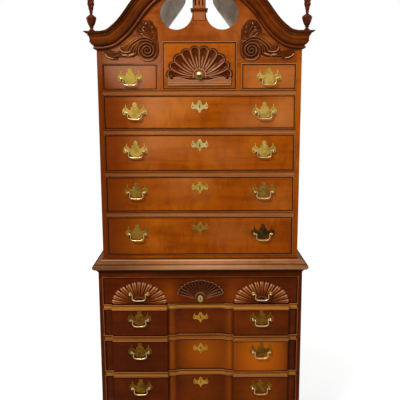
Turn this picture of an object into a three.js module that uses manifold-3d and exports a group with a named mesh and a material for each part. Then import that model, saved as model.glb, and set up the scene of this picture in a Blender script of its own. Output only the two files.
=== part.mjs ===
// A bonnet-top chest-on-chest, or highboy: a block-front lower case with carved shells, and an upper
// case of long drawers under a swan-neck pediment. Millimetres, +Z up, front towards -Y.

import * as THREE from 'three'
import { mergeVertices } from 'three/addons/utils/BufferGeometryUtils.js'
import Module from 'manifold-3d'

const wasm = await Module()
wasm.setup()

// Driving sizes of the two cases
const UPPER_WIDTH = 920
const UPPER_DEPTH = 458
const LOWER_SIDE_STEP = 22 // the lower case is this much wider at each side
const LOWER_WIDTH = UPPER_WIDTH + 2 * LOWER_SIDE_STEP
const LOWER_STEP = 22 // the lower case's face stands this far in front of the upper one
const SIDE_BOARD = 20
const LOWER_STILE = 21
const UPPER_STILE = 26.5
const STILE_DEPTH = 24
const BACK_BOARD = 12
const RAIL_DEPTH = 60
const CASE_BOARD = 18 // bottoms, tops and dust boards
const RUNNER_WIDTH = 38
const RUNNER_HEIGHT = 18
const SEAM = 0.3 // gap kept at every glued or seated face
const WELD = 0.001 // vertices nearer than this are one

// Heights, from the floor up
const FOOT_HEIGHT = 135
const BASE_MOULDING_HEIGHT = 45
const LOWER_BOTTOM_RAIL = 16
const BLOCK_DRAWER_HEIGHTS = [180, 154, 128]
const SHELL_DRAWER_HEIGHT = 129
const LOWER_RAIL = 28
const LOWER_TOP_RAIL = 26
const WAIST_HEIGHT = 64
const UPPER_BOTTOM_RAIL = 17
const LONG_DRAWER_HEIGHTS = [179, 161, 165, 148]
const UPPER_RAIL = 29
const SMALL_DRAWER_HEIGHT = 110
const CENTRE_DRAWER_HEIGHT = 207
const FRIEZE_HEIGHT = 66 // from the small drawers up to the cornice

// The row of three drawers at the top
const CENTRE_DRAWER_WIDTH = 328.6
const PARTITION = 28.4

// Cock beading round every opening
const BEAD_WIDTH = 4.5
const BEAD_PROUD = 2
const BEAD_DEPTH = 4

// Drawers
const DRAWER_GAP = 1.2 // round each drawer front
const DRAWER_INSET = 1 // face of the front behind the rails
const RUN_GAP = 0.5 // under the drawer box
const UPPER_FRONT = 20
const LOWER_FRONT = 30
const DRAWER_SIDE = 12
const DRAWER_BOTTOM = 8
const BOX_DROP = 16 // box sides end this far below the front's top
const BOX_TAIL = 10 // gap behind the box

// Blocks of the lower case, measured from its middle
const BLOCK_INNER = 158
const BLOCK_MARGIN = 62 // from a block's outer edge to the case's side
const BLOCK_PROUD = 18
const BLOCK_ROUND = 5
const RECESS_HALF = 125
const RECESS_DEPTH = 12
const RECESS_CURVE = 30

// Cornice and swan neck
const CORNICE_HEIGHT = 77
const CORNICE_PROJECTION = 47.5
const NECK_RISE = 230 // of the moulding's lower edge
const NECK_STATIONS = 20
const ROSETTE_X = 84
const ROSETTE_RADIUS = 44
const ROSETTE_PROUD = 6
const ROSETTE_BOSS = 15
const PEDIMENT_BOARD = 20
const ROOF_DROP = 8 // roof and board below the moulding's top edge

// Openings and plinth between the scrolls
const OPENING_X = 102
const OPENING_RADIUS = 71.5
const OPENING_ABOVE_CORNICE = 157
const OPENING_SIDES = 40
const PLINTH_WIDTH = 58
const PLINTH_HEIGHT = 145
const COLLAR_BELOW = 9 // collar's foot above the openings' centres
const COLLAR_HEIGHT = 11
const COLLAR_PROUD = 9.5
const FLUTE_WIDTH = 8
const FLUTE_DEPTH = 4
const FLUTE_PITCH = 16

// Bonnet
const ROOF_SHEET = 5
const BACK_CLEAR_SHARE = 1.3 // line of the back board below the roof's, to the sheet

// Brasses
const BORING = 89 // between the posts of a handle
const POST_RADIUS = 5
const HINGE_OUT = 14 // pivot line in front of the plate's ground
const POST_PAST = 5
const PLATE_WIDTH = 118
const PLATE_HEIGHT = 76
const PLATE_THICKNESS = 1.5
const PLATE_SUNK = 1
const ROSE_RADIUS = 8.5
const ROSE_THICKNESS = 2.5
const BAIL_DROP = 36
const BAIL_RADIUS = 2.4
const GRIP_RADIUS = 3.6
const BAIL_SIDES = 6
const POST_SIDES = 8
const UPPER_ESCUTCHEON = 81
const LOWER_ESCUTCHEON = 76
const ESCUTCHEON_SHARE = 0.75 // its height to its width
const OVAL_WIDTH = 25
const OVAL_HEIGHT = 35
const KNOB_RADIUS = 14
const KNOB_LENGTH = 22
const KNOB_RISE_SHARE = 1.7 // above the shell's foot, to its radius
const UPPER_HANDLE_IN = 137.5 // from the opening's side to a handle's middle
const LOWER_HANDLE_PAST = 2 // handle's middle beyond that of its block
const LONG_POST_HEIGHTS = [100, 91, 92, 73.5] // above each opening's foot
const LONG_KEY_HEIGHTS = [130, 112, 119, 99.5]
const BLOCK_POST_HEIGHTS = [125, 102, 83]
const BLOCK_KEY_HEIGHTS = [140, 107, 83]
const SMALL_POST_HEIGHT = 47
const SHELL_POST_HEIGHT = 53.5
const OVAL_CENTRE_HEIGHT = 26

// Shell carvings
const CENTRE_SHELL_HALF = 140
const CENTRE_SHELL_HEIGHT = 156
const CENTRE_SHELL_FOOT = 37
const CENTRE_SHELL_PROUD = 9
const CENTRE_SHELL_LOBES = 12
const SIDE_SHELL_HALF = 129
const SIDE_SHELL_HEIGHT = 112
const SIDE_SHELL_PROUD = 14
const SIDE_SHELL_LOBES = 13
const POCKET_SHELL_HALF = 115
const POCKET_SHELL_HEIGHT = 101
const POCKET_SHELL_FOOT = 17
const POCKET_SHELL_DEPTH = 8
const POCKET_SHELL_LOBES = 12
const SCALLOP_SHARE = 0.07 // scallop depth to the shell's reach
const SHELL_STEPS = 3 // points along each lobe

// Applied scroll ornaments
const SCROLL_CLEAR = 21.7 // from the centre drawer to the scroll
const SCROLL_END = 41 // from the scroll's tail to the case's side
const SCROLL_BELOW_NECK = 25.2 // from the leaf's top up to the neck's lower edge
const SCROLL_TOP_SHARE = 0.233 // where that top is, along the scroll's width
const SCROLL_FOOT = 17 // above the small drawers
const SCROLL_GROUND = 5
const VOLUTE_IN_SHARE = 0.1974 // scroll's inner edge to the volute's middle, to the scroll's width
const VOLUTE_UP_SHARE = 0.263 // scroll's foot to the volute's middle, to the scroll's height
const VOLUTE_SHARE = 0.2514 // volute's radius to the scroll's height
const VOLUTE_BAND = 8
const VOLUTE_PROUD = 6
const VOLUTE_TURNS = 2.2
const VOLUTE_STEPS = 30

// Finials
const SIDE_FINIAL_HEIGHT = 205
const SIDE_FINIAL_RADIUS = 22.5
const SIDE_FINIAL_BEYOND = 16 // past the case's side
const SIDE_FINIAL_OUT = 16
const CENTRE_FINIAL_HEIGHT = 222
const CENTRE_FINIAL_RADIUS = 26
const FINIAL_SIDES = 12

// Waist, base and feet
const WAIST_PROJECTION = 25
const BASE_PROJECTION = 16
const FOOT_SPREAD = 165
const FOOT_WALL = 22
const FOOT_SWELL = 18
const REAR_BRACKET = 100
const BRACE_RISE_SHARE = 0.72 // foot of the rear brace's outer end, to the foot's height
const CUT_OVERRUN = 40

// Outlines as shares, across then up

// Lower edge of the swan neck: shares of half the upper width, then of its rise
const neckShares = [
  [1, 0], [0.922, 0.004], [0.843, 0.039], [0.789, 0.091], [0.735, 0.17], [0.681, 0.265],
  [0.629, 0.378], [0.575, 0.517], [0.521, 0.661], [0.467, 0.778], [0.414, 0.874],
  [0.358, 0.948], [0.299, 0.988], [0.239, 1], [ROSETTE_X / (UPPER_WIDTH / 2), 1]
]

// Cornice section: shares of its height, then of its projection
const corniceShares = [
  [0, 0], [0.11, 0.18], [0.24, 0.26], [0.32, 0.4], [0.4, 0.54], [0.58, 0.58], [0.76, 0.64],
  [0.82, 0.67], [0.92, 0.86], [0.97, 1], [1, 1], [1, 0]
]

// Waist section: shares of its projection, negative inside the lower face, then of its height
const waistShares = [
  [0, 0], [0.12, 0.13], [0.38, 0.25], [0.8, 0.33], [1, 0.39], [1, 0.58], [0.72, 0.67],
  [-0.2, 0.8], [-0.8, 0.95]
]

// Base moulding section: shares of its projection, then of its height
const baseShares = [[0, 0], [1, 0], [1, 0.36], [0.84, 0.45], [0.6, 0.68], [0.2, 0.84], [0, 1]]

// Ogee of the feet: shares of the swell, then of the foot's height
const ogeeShares = [
  [0.78, 1], [1, 0.83], [0.84, 0.65], [0.44, 0.49], [0.17, 0.34], [0.17, 0.2], [0.5, 0.09], [0.67, 0]
]

// Bracket of a foot in elevation: shares of its spread, then of its height
const bracketShares = [
  [0.58, 0], [0.54, 0.15], [0.6, 0.33], [0.73, 0.44], [0.78, 0.58], [0.91, 0.65], [1, 0.78], [1, 1]
]

// Handle plate, right half from its top: shares of its width and height, from the post line
const plateShares = [
  [0, 0.585], [0.1, 0.45], [0.088, 0.37], [0.171, 0.22], [0.15, 0.13], [0.21, 0.12],
  [0.28, 0.2], [0.28, 0.33], [0.37, 0.465], [0.353, 0.35], [0.44, 0.126], [0.5, -0.02],
  [0.478, -0.15], [0.395, -0.22], [0.262, -0.14], [0.2, -0.34], [0, -0.415]
]

// Keyhole plate, right half from its top: shares of its width and height, from its middle
const keyPlateShares = [
  [0, 0.5], [0.1, 0.36], [0.17, 0.18], [0.26, 0.14], [0.45, 0.42], [0.42, 0.22],
  [0.5, 0], [0.44, -0.14], [0.28, -0.2], [0.08, -0.42], [0, -0.5]
]

// Bail, right half from its pivot: shares of half the boring, then of its drop
const bailShares = [
  [0.74, -0.04], [0.66, -0.22], [0.8, -0.48], [0.83, -0.7], [0.6, -0.94], [0.3, -1]
]

// Silhouette of the applied scroll: shares of its width from the inner edge, then of its height
const scrollShares = [
  [1, 0.165], [0.9, 0.05], [0.79, 0.07], [0.667, 0.113], [0.543, 0.097], [0.419, 0.078],
  [0.341, 0.023], [0.233, 0], [0.109, 0.035], [0.023, 0.146], [0, 0.291], [0.008, 0.466],
  [0.031, 0.66], [0.078, 0.854], [0.14, 0.97], [0.233, 1], [0.326, 0.951], [0.388, 0.854],
  [0.403, 0.738], [0.38, 0.65], [0.481, 0.602], [0.574, 0.505], [0.698, 0.398],
  [0.853, 0.311], [0.977, 0.262]
]

// Bonnet lining in the cleft, front and rear: shares of the opening's radius from its centre
const liningFrontShares = [
  [-0.25, 1.93], [-0.5, 1.8], [-0.56, 1.56], [-0.36, 1.24], [0.1, 1.1], [0.54, 0.97],
  [0.93, 0.56], [1.06, 0], [0.95, -0.56], [0.56, -0.96], [0, -1.1], [-0.8, -1.1]
]
const liningRearShares = [
  [-0.25, 1.93], [-0.44, 1.82], [-0.42, 1.56], [-0.17, 1.13], [0.18, 0.67], [0.53, 0.21],
  [0.77, -0.11], [0.95, -0.42], [1.04, -0.8], [0.9, -1.04], [0.5, -1.1], [-0.8, -1.1]
]

// Turned finial: shares of its greatest radius, then of its height
const finialShares = [
  [0, 0], [0.55, 0], [0.55, 0.03], [0.33, 0.055], [0.36, 0.08], [0.72, 0.17], [1, 0.27],
  [0.86, 0.31], [0.35, 0.345], [0.27, 0.37], [0.42, 0.43], [0.66, 0.52], [0.7, 0.6], [0.62, 0.72],
  [0.44, 0.84], [0.2, 0.95], [0, 1]
]

// Knob: shares of its radius, then of its length
const knobShares = [[0, 0], [0.5, 0], [0.42, 0.35], [0.85, 0.5], [1, 0.7], [0.8, 0.92], [0, 1]]

// Materials
function finish (colour, roughness, metalness) {
  return new THREE.MeshStandardMaterial({ color: colour, roughness, metalness })
}

const cherry = finish(0x9a4f1c, 0.35, 0)
const darkCherry = finish(0x6a2c10, 0.35, 0)
const poplar = finish(0xc9a876, 0.8, 0)
const rawBoard = finish(0x9a9187, 0.9, 0)
const finialWood = finish(0x5e2612, 0.4, 0)
const brass = finish(0xb89a4a, 0.3, 1)

// Solids from geometries and back
function solidOf (geometry) {
  const bare = geometry.clone()
  bare.deleteAttribute('normal')
  bare.deleteAttribute('uv')
  const merged = mergeVertices(bare, WELD)
  const vertProperties = new Float32Array(merged.attributes.position.array)
  const triVerts = new Uint32Array(merged.index.array)
  return new wasm.Manifold(new wasm.Mesh({ numProp: 3, vertProperties, triVerts }))
}

function geometryOf (solid) {
  const mesh = solid.getMesh()
  const geometry = new THREE.BufferGeometry()
  geometry.setAttribute('position', new THREE.BufferAttribute(mesh.vertProperties, mesh.numProp))
  geometry.setIndex(new THREE.BufferAttribute(mesh.triVerts, 1))
  geometry.computeVertexNormals()
  return geometry
}

function joined (solids) {
  return solids.reduce((whole, piece) => whole.add(piece))
}

function named (name, geometry, material) {
  const mesh = new THREE.Mesh(geometry, material)
  mesh.name = name
  return mesh
}

// The same geometry on the other side of the middle plane
function mirrored (geometry) {
  const other = geometry.clone()
  other.scale(-1, 1, 1)
  const index = other.index.array
  for (let i = 0; i < index.length; i += 3) {
    const kept = index[i]
    index[i] = index[i + 1]
    index[i + 1] = kept
  }
  other.computeVertexNormals()
  return other
}

// A box from its six faces
function block (x0, x1, y0, y1, z0, z1) {
  const box = new THREE.BoxGeometry(x1 - x0, y1 - y0, z1 - z0)
  box.translate((x0 + x1) / 2, (y0 + y1) / 2, (z0 + z1) / 2)
  return solidOf(box)
}

// A box at the right and its twin at the left
function twinBlocks (x0, x1, y0, y1, z0, z1) {
  return block(x0, x1, y0, y1, z0, z1).add(block(-x1, -x0, y0, y1, z0, z1))
}

function shapeOf (points) {
  return new THREE.Shape(points.map(([u, v]) => new THREE.Vector2(u, v)))
}

function prism (points, depth) {
  return new THREE.ExtrudeGeometry(shapeOf(points), { depth, bevelEnabled: false })
}

// An outline seen from the front, standing between two depths
function frontPlate (points, y0, y1) {
  const plate = prism(points, y1 - y0)
  plate.rotateX(Math.PI / 2)
  plate.translate(0, y1, 0)
  return solidOf(plate)
}

// An outline seen from above, standing between two heights
function planPlate (points, z0, z1) {
  const plate = prism(points, z1 - z0)
  plate.translate(0, 0, z0)
  return solidOf(plate)
}

// An outline seen from the right (y, z), standing between two x positions
function sidePlate (points, x0, x1) {
  const plate = prism(points, x1 - x0)
  const across = new THREE.Vector3(0, 1, 0)
  const up = new THREE.Vector3(0, 0, 1)
  const along = new THREE.Vector3(1, 0, 0)
  plate.applyMatrix4(new THREE.Matrix4().makeBasis(across, up, along))
  plate.translate(x0, 0, 0)
  return solidOf(plate)
}

// A round bar along Y
function frontBar (x, z, radius, y0, y1, sides) {
  const turned = new THREE.CylinderGeometry(radius, radius, y1 - y0, sides)
  turned.translate(x, (y0 + y1) / 2, z)
  return solidOf(turned)
}

// A skin of rings joined one to the next, closed by a flat cap at both ends
function skin (rings) {
  const size = rings[0].length
  const positions = rings.flat(2)
  const index = []
  for (let r = 0; r + 1 < rings.length; r++) {
    for (let i = 0; i < size; i++) {
      const a = r * size + i
      const b = r * size + (i + 1) % size
      index.push(a, b, a + size, b, b + size, a + size)
    }
  }
  const flat = flatRing(rings[0])
  const last = (rings.length - 1) * size
  for (const [a, b, c] of THREE.ShapeUtils.triangulateShape(flat, [])) {
    index.push(a, c, b)
    index.push(last + a, last + b, last + c)
  }
  const geometry = new THREE.BufferGeometry()
  geometry.setAttribute('position', new THREE.Float32BufferAttribute(positions, 3))
  geometry.setIndex(index)
  return facingOut(geometry)
}

// A ring's points in its own plane
function flatRing (ring) {
  const points = ring.map(p => new THREE.Vector3(...p))
  const normal = new THREE.Vector3()
  points.forEach((p, i) => normal.add(p.clone().cross(points[(i + 1) % points.length])))
  normal.normalize()
  const lean = Math.abs(normal.z) < Math.SQRT1_2 ? new THREE.Vector3(0, 0, 1) : new THREE.Vector3(1, 0, 0)
  const across = lean.cross(normal).normalize()
  const up = normal.clone().cross(across)
  return points.map(p => new THREE.Vector2(p.dot(across), p.dot(up)))
}

// Turns a closed skin's triangles outward where they face in
function facingOut (geometry) {
  const at = geometry.attributes.position
  const index = geometry.index.array
  const a = new THREE.Vector3()
  const b = new THREE.Vector3()
  const c = new THREE.Vector3()
  let volume = 0
  for (let i = 0; i < index.length; i += 3) {
    a.fromBufferAttribute(at, index[i])
    b.fromBufferAttribute(at, index[i + 1])
    c.fromBufferAttribute(at, index[i + 2])
    volume += a.dot(b.cross(c))
  }
  if (volume < 0) {
    for (let i = 0; i < index.length; i += 3) {
      const kept = index[i]
      index[i] = index[i + 1]
      index[i + 1] = kept
    }
  }
  return geometry
}

// A moulding round a plan path. Its section is [out, z]; corners are mitred
function mouldingRun (path, section) {
  const outward = path.map((point, i) => {
    const before = i > 0 ? unitNormal(path[i - 1], point) : null
    const after = i + 1 < path.length ? unitNormal(point, path[i + 1]) : null
    if (!before || !after) return before || after
    const lap = 1 + before[0] * after[0] + before[1] * after[1]
    return [(before[0] + after[0]) / lap, (before[1] + after[1]) / lap]
  })
  const rings = path.map(([x, y], i) => {
    const [nx, ny] = outward[i]
    return section.map(([out, z]) => [x + out * nx, y + out * ny, z])
  })
  return solidOf(skin(rings))
}

// The normal on the right hand of a step from one plan point to the next
function unitNormal ([x0, y0], [x1, y1]) {
  const length = Math.hypot(x1 - x0, y1 - y0)
  return [(y1 - y0) / length, (x0 - x1) / length]
}

// Heights of a stack of drawers with a rail between each two
function stack (foot, heights, rail) {
  let at = foot
  return heights.map(height => {
    const row = { foot: at, top: at + height }
    at += height + rail
    return row
  })
}

// Places worked out from the driving sizes
const upperHalf = UPPER_WIDTH / 2
const lowerHalf = LOWER_WIDTH / 2
const lowerFace = -LOWER_STEP
const upperInner = upperHalf - SIDE_BOARD
const lowerOpening = lowerHalf - LOWER_STILE
const upperOpening = upperHalf - UPPER_STILE
const blockOuter = lowerHalf - BLOCK_MARGIN
const upperHandle = upperOpening - UPPER_HANDLE_IN
const lowerHandle = (BLOCK_INNER + blockOuter) / 2 + LOWER_HANDLE_PAST
const sideFinial = upperHalf + SIDE_FINIAL_BEYOND
const backFace = UPPER_DEPTH - BACK_BOARD
const lowerRows = stack(FOOT_HEIGHT + BASE_MOULDING_HEIGHT + LOWER_BOTTOM_RAIL,
  [...BLOCK_DRAWER_HEIGHTS, SHELL_DRAWER_HEIGHT], LOWER_RAIL)
const shellRow = lowerRows[lowerRows.length - 1]
const lowerTop = shellRow.top + LOWER_TOP_RAIL
const upperFoot = lowerTop + WAIST_HEIGHT
const upperRows = stack(upperFoot + UPPER_BOTTOM_RAIL, LONG_DRAWER_HEIGHTS, UPPER_RAIL)
const topFoot = upperRows[upperRows.length - 1].top + UPPER_RAIL
const smallTop = topFoot + SMALL_DRAWER_HEIGHT
const centreTop = topFoot + CENTRE_DRAWER_HEIGHT
const centreHalf = CENTRE_DRAWER_WIDTH / 2
const partitionOuter = centreHalf + PARTITION
const scrollInner = centreHalf + SCROLL_CLEAR
const scrollWidth = upperHalf - SCROLL_END - scrollInner
const corniceFoot = smallTop + FRIEZE_HEIGHT
const corniceTop = corniceFoot + CORNICE_HEIGHT
const subTop = centreTop + BEAD_WIDTH + SEAM
const scrollFoot = smallTop + SCROLL_FOOT
const scrollHead = neckEdge(scrollInner + scrollWidth * SCROLL_TOP_SHARE) - SCROLL_BELOW_NECK
const scrollHeight = scrollHead - scrollFoot
const openingZ = corniceFoot + OPENING_ABOVE_CORNICE
const rosetteZ = corniceFoot + NECK_RISE + CORNICE_HEIGHT / 2
const collarFoot = openingZ + COLLAR_BELOW
const plinthTop = collarFoot + COLLAR_HEIGHT + PLINTH_HEIGHT

// Height of the swan neck's lower edge at a distance from the middle, straight between its points
function neckEdge (x) {
  const along = x / upperHalf
  const next = neckShares.findIndex(([share]) => share <= along)
  const [a0, u0] = neckShares[next - 1]
  const [a1, u1] = neckShares[next]
  return corniceFoot + NECK_RISE * (u0 + (u1 - u0) * (along - a0) / (a1 - a0))
}

// Front line of the lower case in plan, moved forward by an amount, from -x to +x
function blockLine (reach, forward) {
  const y = lowerFace - forward
  const round = BLOCK_ROUND
  const curve = RECESS_CURVE
  const deep = RECESS_DEPTH
  const half = [
    [RECESS_HALF - curve, y + deep], [RECESS_HALF - curve / 2, y + deep * Math.cos(Math.PI / 5)],
    [RECESS_HALF, y], [BLOCK_INNER, y],
    [BLOCK_INNER, y - BLOCK_PROUD + round], [BLOCK_INNER + round, y - BLOCK_PROUD],
    [blockOuter - round, y - BLOCK_PROUD], [blockOuter, y - BLOCK_PROUD + round],
    [blockOuter, y], [reach, y]
  ]
  return [...half.map(([x, at]) => [-x, at]).reverse(), ...half]
}

// A bar of the lower case that follows the blocks
function blockedBar (reach, forward, rear, z0, z1) {
  return planPlate([...blockLine(reach, forward), [reach, rear], [-reach, rear]], z0, z1)
}

// The lower face's plan with sharp corners, for mouldings and feet
function cornerLine (reach) {
  const half = [
    [RECESS_HALF - RECESS_CURVE, lowerFace + RECESS_DEPTH], [RECESS_HALF, lowerFace],
    [BLOCK_INNER, lowerFace], [BLOCK_INNER, lowerFace - BLOCK_PROUD],
    [blockOuter, lowerFace - BLOCK_PROUD], [blockOuter, lowerFace], [reach, lowerFace]
  ]
  return [...half.map(([x, y]) => [-x, y]).reverse(), ...half]
}

// Beads at the head, foot and sides of a plain opening in the upper case
function beadFrame (x0, x1, z0, z1) {
  const w = BEAD_WIDTH
  const front = -BEAD_PROUD
  const rear = BEAD_DEPTH
  return joined([
    block(x0 - w, x1 + w, front, rear, z1, z1 + w), block(x0 - w, x1 + w, front, rear, z0 - w, z0),
    block(x0 - w, x0, front, rear, z0 - w, z1 + w), block(x1, x1 + w, front, rear, z0 - w, z1 + w)
  ])
}

// Upper carcass: sides, stiles, rails, runners, dust boards and partitions
function upperCarcass () {
  const sideMid = upperHalf - SIDE_BOARD / 2
  const railBack = RAIL_DEPTH
  const foot = lowerTop + SEAM
  const floor = upperRows[0].foot
  const smallHead = smallTop + BEAD_WIDTH
  const pieces = [
    twinBlocks(upperInner, upperHalf, 0, UPPER_DEPTH, foot, corniceTop),
    twinBlocks(upperOpening, sideMid, 0, STILE_DEPTH, foot, corniceTop - ROOF_DROP * 2),
    block(-sideMid, sideMid, 0, STILE_DEPTH, foot, floor),
    block(-sideMid, sideMid, 0, backFace - SEAM, floor - CASE_BOARD, floor),
    block(-sideMid, sideMid, PEDIMENT_BOARD + SEAM, backFace - SEAM, subTop, subTop + CASE_BOARD)
  ]
  upperRows.forEach((row, i) => {
    const next = i + 1 < upperRows.length ? upperRows[i + 1].foot : topFoot
    pieces.push(block(-sideMid, sideMid, 0, railBack, row.top, next))
    pieces.push(twinBlocks(upperInner - RUNNER_WIDTH, sideMid, railBack / 2, backFace - SEAM,
      next - RUNNER_HEIGHT, next))
    pieces.push(beadFrame(-upperOpening, upperOpening, row.foot, row.top))
  })
  const dust = topFoot - CASE_BOARD
  pieces.push(block(-sideMid, sideMid, railBack / 2, backFace - SEAM, dust, topFoot))
  pieces.push(twinBlocks(centreHalf, partitionOuter, 0, PEDIMENT_BOARD + SEAM, dust, smallHead))
  pieces.push(twinBlocks(centreHalf, partitionOuter, PEDIMENT_BOARD + SEAM, backFace - SEAM, dust,
    subTop + CASE_BOARD / 2))
  pieces.push(twinBlocks(partitionOuter - BEAD_WIDTH, sideMid, 0, STILE_DEPTH, smallTop, smallHead))
  pieces.push(twinBlocks(upperInner - RUNNER_WIDTH, sideMid, STILE_DEPTH / 2, backFace - SEAM,
    smallTop, smallTop + RUNNER_HEIGHT))
  pieces.push(beadFrame(partitionOuter, upperOpening, topFoot, smallTop))
  pieces.push(beadFrame(-upperOpening, -partitionOuter, topFoot, smallTop))
  const centreBeads = beadFrame(-centreHalf, centreHalf, topFoot, centreTop)
  pieces.push(centreBeads.subtract(block(-upperHalf, upperHalf, -CUT_OVERRUN, CUT_OVERRUN, smallHead,
    corniceTop)))
  const whole = joined(pieces)
  const behindBoard = block(-upperOpening - SEAM, upperOpening + SEAM, -CUT_OVERRUN,
    PEDIMENT_BOARD + SEAM, smallHead, corniceTop + CUT_OVERRUN)
  const bandBoard = block(-upperHalf, upperHalf, -CUT_OVERRUN, -SEAM, corniceFoot - SEAM,
    corniceTop + CUT_OVERRUN)
  return whole.subtract(behindBoard).subtract(bandBoard)
}

// Lower carcass: sides, blocked rails, runners, bottom and top
function lowerCarcass () {
  const inner = lowerOpening
  const mid = lowerHalf - LOWER_STILE / 2
  const railBack = lowerFace + RAIL_DEPTH
  const rear = backFace - SEAM
  const floor = lowerRows[0].foot
  const foot = FOOT_HEIGHT
  const pieces = [
    twinBlocks(inner, lowerHalf, lowerFace, UPPER_DEPTH, foot, lowerTop),
    blockedBar(mid, 0, railBack, foot, floor),
    block(-mid, mid, 0, rear, floor - CASE_BOARD, floor),
    block(-mid, mid, 0, rear, lowerTop - CASE_BOARD, lowerTop),
    block(-mid, mid, lowerFace, railBack, shellRow.top, lowerTop)
  ]
  lowerRows.forEach((row, i) => {
    const beads = [[row.foot - BEAD_WIDTH, row.foot]]
    const isShell = row === shellRow
    if (!isShell) {
      const next = lowerRows[i + 1].foot
      pieces.push(blockedBar(mid, 0, railBack, row.top, next))
      pieces.push(twinBlocks(inner - RUNNER_WIDTH, mid, 0, rear, next - RUNNER_HEIGHT, next))
      beads.push([row.top, row.top + BEAD_WIDTH])
    } else {
      pieces.push(block(-inner - BEAD_WIDTH, inner + BEAD_WIDTH, lowerFace - BEAD_PROUD,
        lowerFace + BEAD_DEPTH, row.top, row.top + BEAD_WIDTH))
    }
    for (const [z0, z1] of beads) {
      pieces.push(blockedBar(inner + BEAD_WIDTH, BEAD_PROUD, railBack / 2, z0, z1))
    }
    pieces.push(twinBlocks(inner, inner + BEAD_WIDTH, lowerFace - BEAD_PROUD, lowerFace + BEAD_DEPTH,
      row.foot - BEAD_WIDTH, row.top + BEAD_WIDTH))
  })
  return joined(pieces)
}

// Back panels between the case sides
function backPanel (half, z0, z1) {
  return block(-half + SEAM, half - SEAM, backFace, UPPER_DEPTH, z0, z1)
}

// Waist moulding: three sides, mitred, seated on the lower case round the upper one's foot
function waistMoulding () {
  const inside = -LOWER_STEP + SEAM
  const rise = WAIST_HEIGHT - SEAM
  const outer = waistShares.map(([out, up]) => [out * WAIST_PROJECTION, lowerTop + SEAM + up * rise])
  const section = [[inside, lowerTop + SEAM], ...outer, [inside, upperFoot]]
  const path = [
    [-lowerHalf, UPPER_DEPTH], [-lowerHalf, lowerFace], [lowerHalf, lowerFace], [lowerHalf, UPPER_DEPTH]
  ]
  return mouldingRun(path, section)
}

// Base moulding, following the blocks
function baseMoulding () {
  const section = baseShares.map(([out, up]) => {
    return [SEAM + out * BASE_PROJECTION, FOOT_HEIGHT + up * BASE_MOULDING_HEIGHT]
  })
  const path = [[-lowerHalf, UPPER_DEPTH], ...cornerLine(lowerHalf), [lowerHalf, UPPER_DEPTH]]
  return mouldingRun(path, section)
}

// Section of a foot: ogee outside, plain wall inside
function footSection () {
  const top = FOOT_HEIGHT - SEAM
  const ogee = ogeeShares.map(([out, up]) => [out * FOOT_SWELL, up * top])
  return [[-FOOT_WALL, top], ...ogee, [-FOOT_WALL, 0]]
}

// Bracket outline against distance from the corner
function bracketOutline (at, away) {
  const scroll = bracketShares.map(([along, up]) => [at + away * along * FOOT_SPREAD, up * FOOT_HEIGHT])
  return [[at - away * CUT_OVERRUN, 0], ...scroll, [at - away * CUT_OVERRUN, FOOT_HEIGHT]]
}

// Front foot at the right, wrapping the corner
function frontFoot () {
  const inner = lowerHalf - FOOT_SPREAD
  const rear = lowerFace + FOOT_SPREAD
  const path = [
    [inner, lowerFace - BLOCK_PROUD], [blockOuter, lowerFace - BLOCK_PROUD], [blockOuter, lowerFace],
    [lowerHalf, lowerFace], [lowerHalf, rear]
  ]
  const run = mouldingRun(path, footSection())
  const front = frontPlate(bracketOutline(lowerHalf, -1), lowerFace - CUT_OVERRUN * 2, lowerFace + FOOT_WALL)
  const side = sidePlate(bracketOutline(lowerFace, 1), lowerHalf - FOOT_WALL, lowerHalf + CUT_OVERRUN)
  return run.intersect(front.add(side))
}

// Rear foot at the right: an ogee bracket along the side and a plain bracket at the back
function rearFoot () {
  const path = [[lowerHalf, UPPER_DEPTH - FOOT_SPREAD], [lowerHalf, UPPER_DEPTH]]
  const run = mouldingRun(path, footSection())
  const cut = sidePlate(bracketOutline(UPPER_DEPTH, -1), lowerHalf - FOOT_WALL * 2, lowerHalf + CUT_OVERRUN)
  const inner = lowerHalf - FOOT_WALL
  const brace = frontPlate([
    [inner - REAR_BRACKET, FOOT_HEIGHT - SEAM], [inner - REAR_BRACKET, FOOT_HEIGHT * BRACE_RISE_SHARE],
    [inner - REAR_BRACKET / 4, 0], [inner + FOOT_WALL / 2, 0], [inner + FOOT_WALL / 2, FOOT_HEIGHT - SEAM]
  ], UPPER_DEPTH - FOOT_WALL, UPPER_DEPTH)
  return run.intersect(cut).add(brace)
}

// Stations along the swan neck's lower edge at the right, with the normal up and out
function neckStations () {
  const points = neckShares.map(([along, up]) => {
    return new THREE.Vector2(along * upperHalf, corniceFoot + up * NECK_RISE)
  })
  const curve = new THREE.SplineCurve(points)
  const stations = []
  for (let i = 0; i <= NECK_STATIONS; i++) {
    const at = curve.getPoint(i / NECK_STATIONS)
    const going = curve.getTangent(i / NECK_STATIONS)
    stations.push({ x: at.x, z: at.y, nx: going.y, nz: -going.x })
  }
  const first = stations[0]
  const last = stations[NECK_STATIONS]
  first.nx = 0
  first.nz = 1
  last.nx = 0
  last.nz = 1
  return stations
}

// Points at a distance above the neck's lower edge
function neckLine (above) {
  return neckStations().map(s => [s.x + s.nx * above, s.z + s.nz * above])
}

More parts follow.
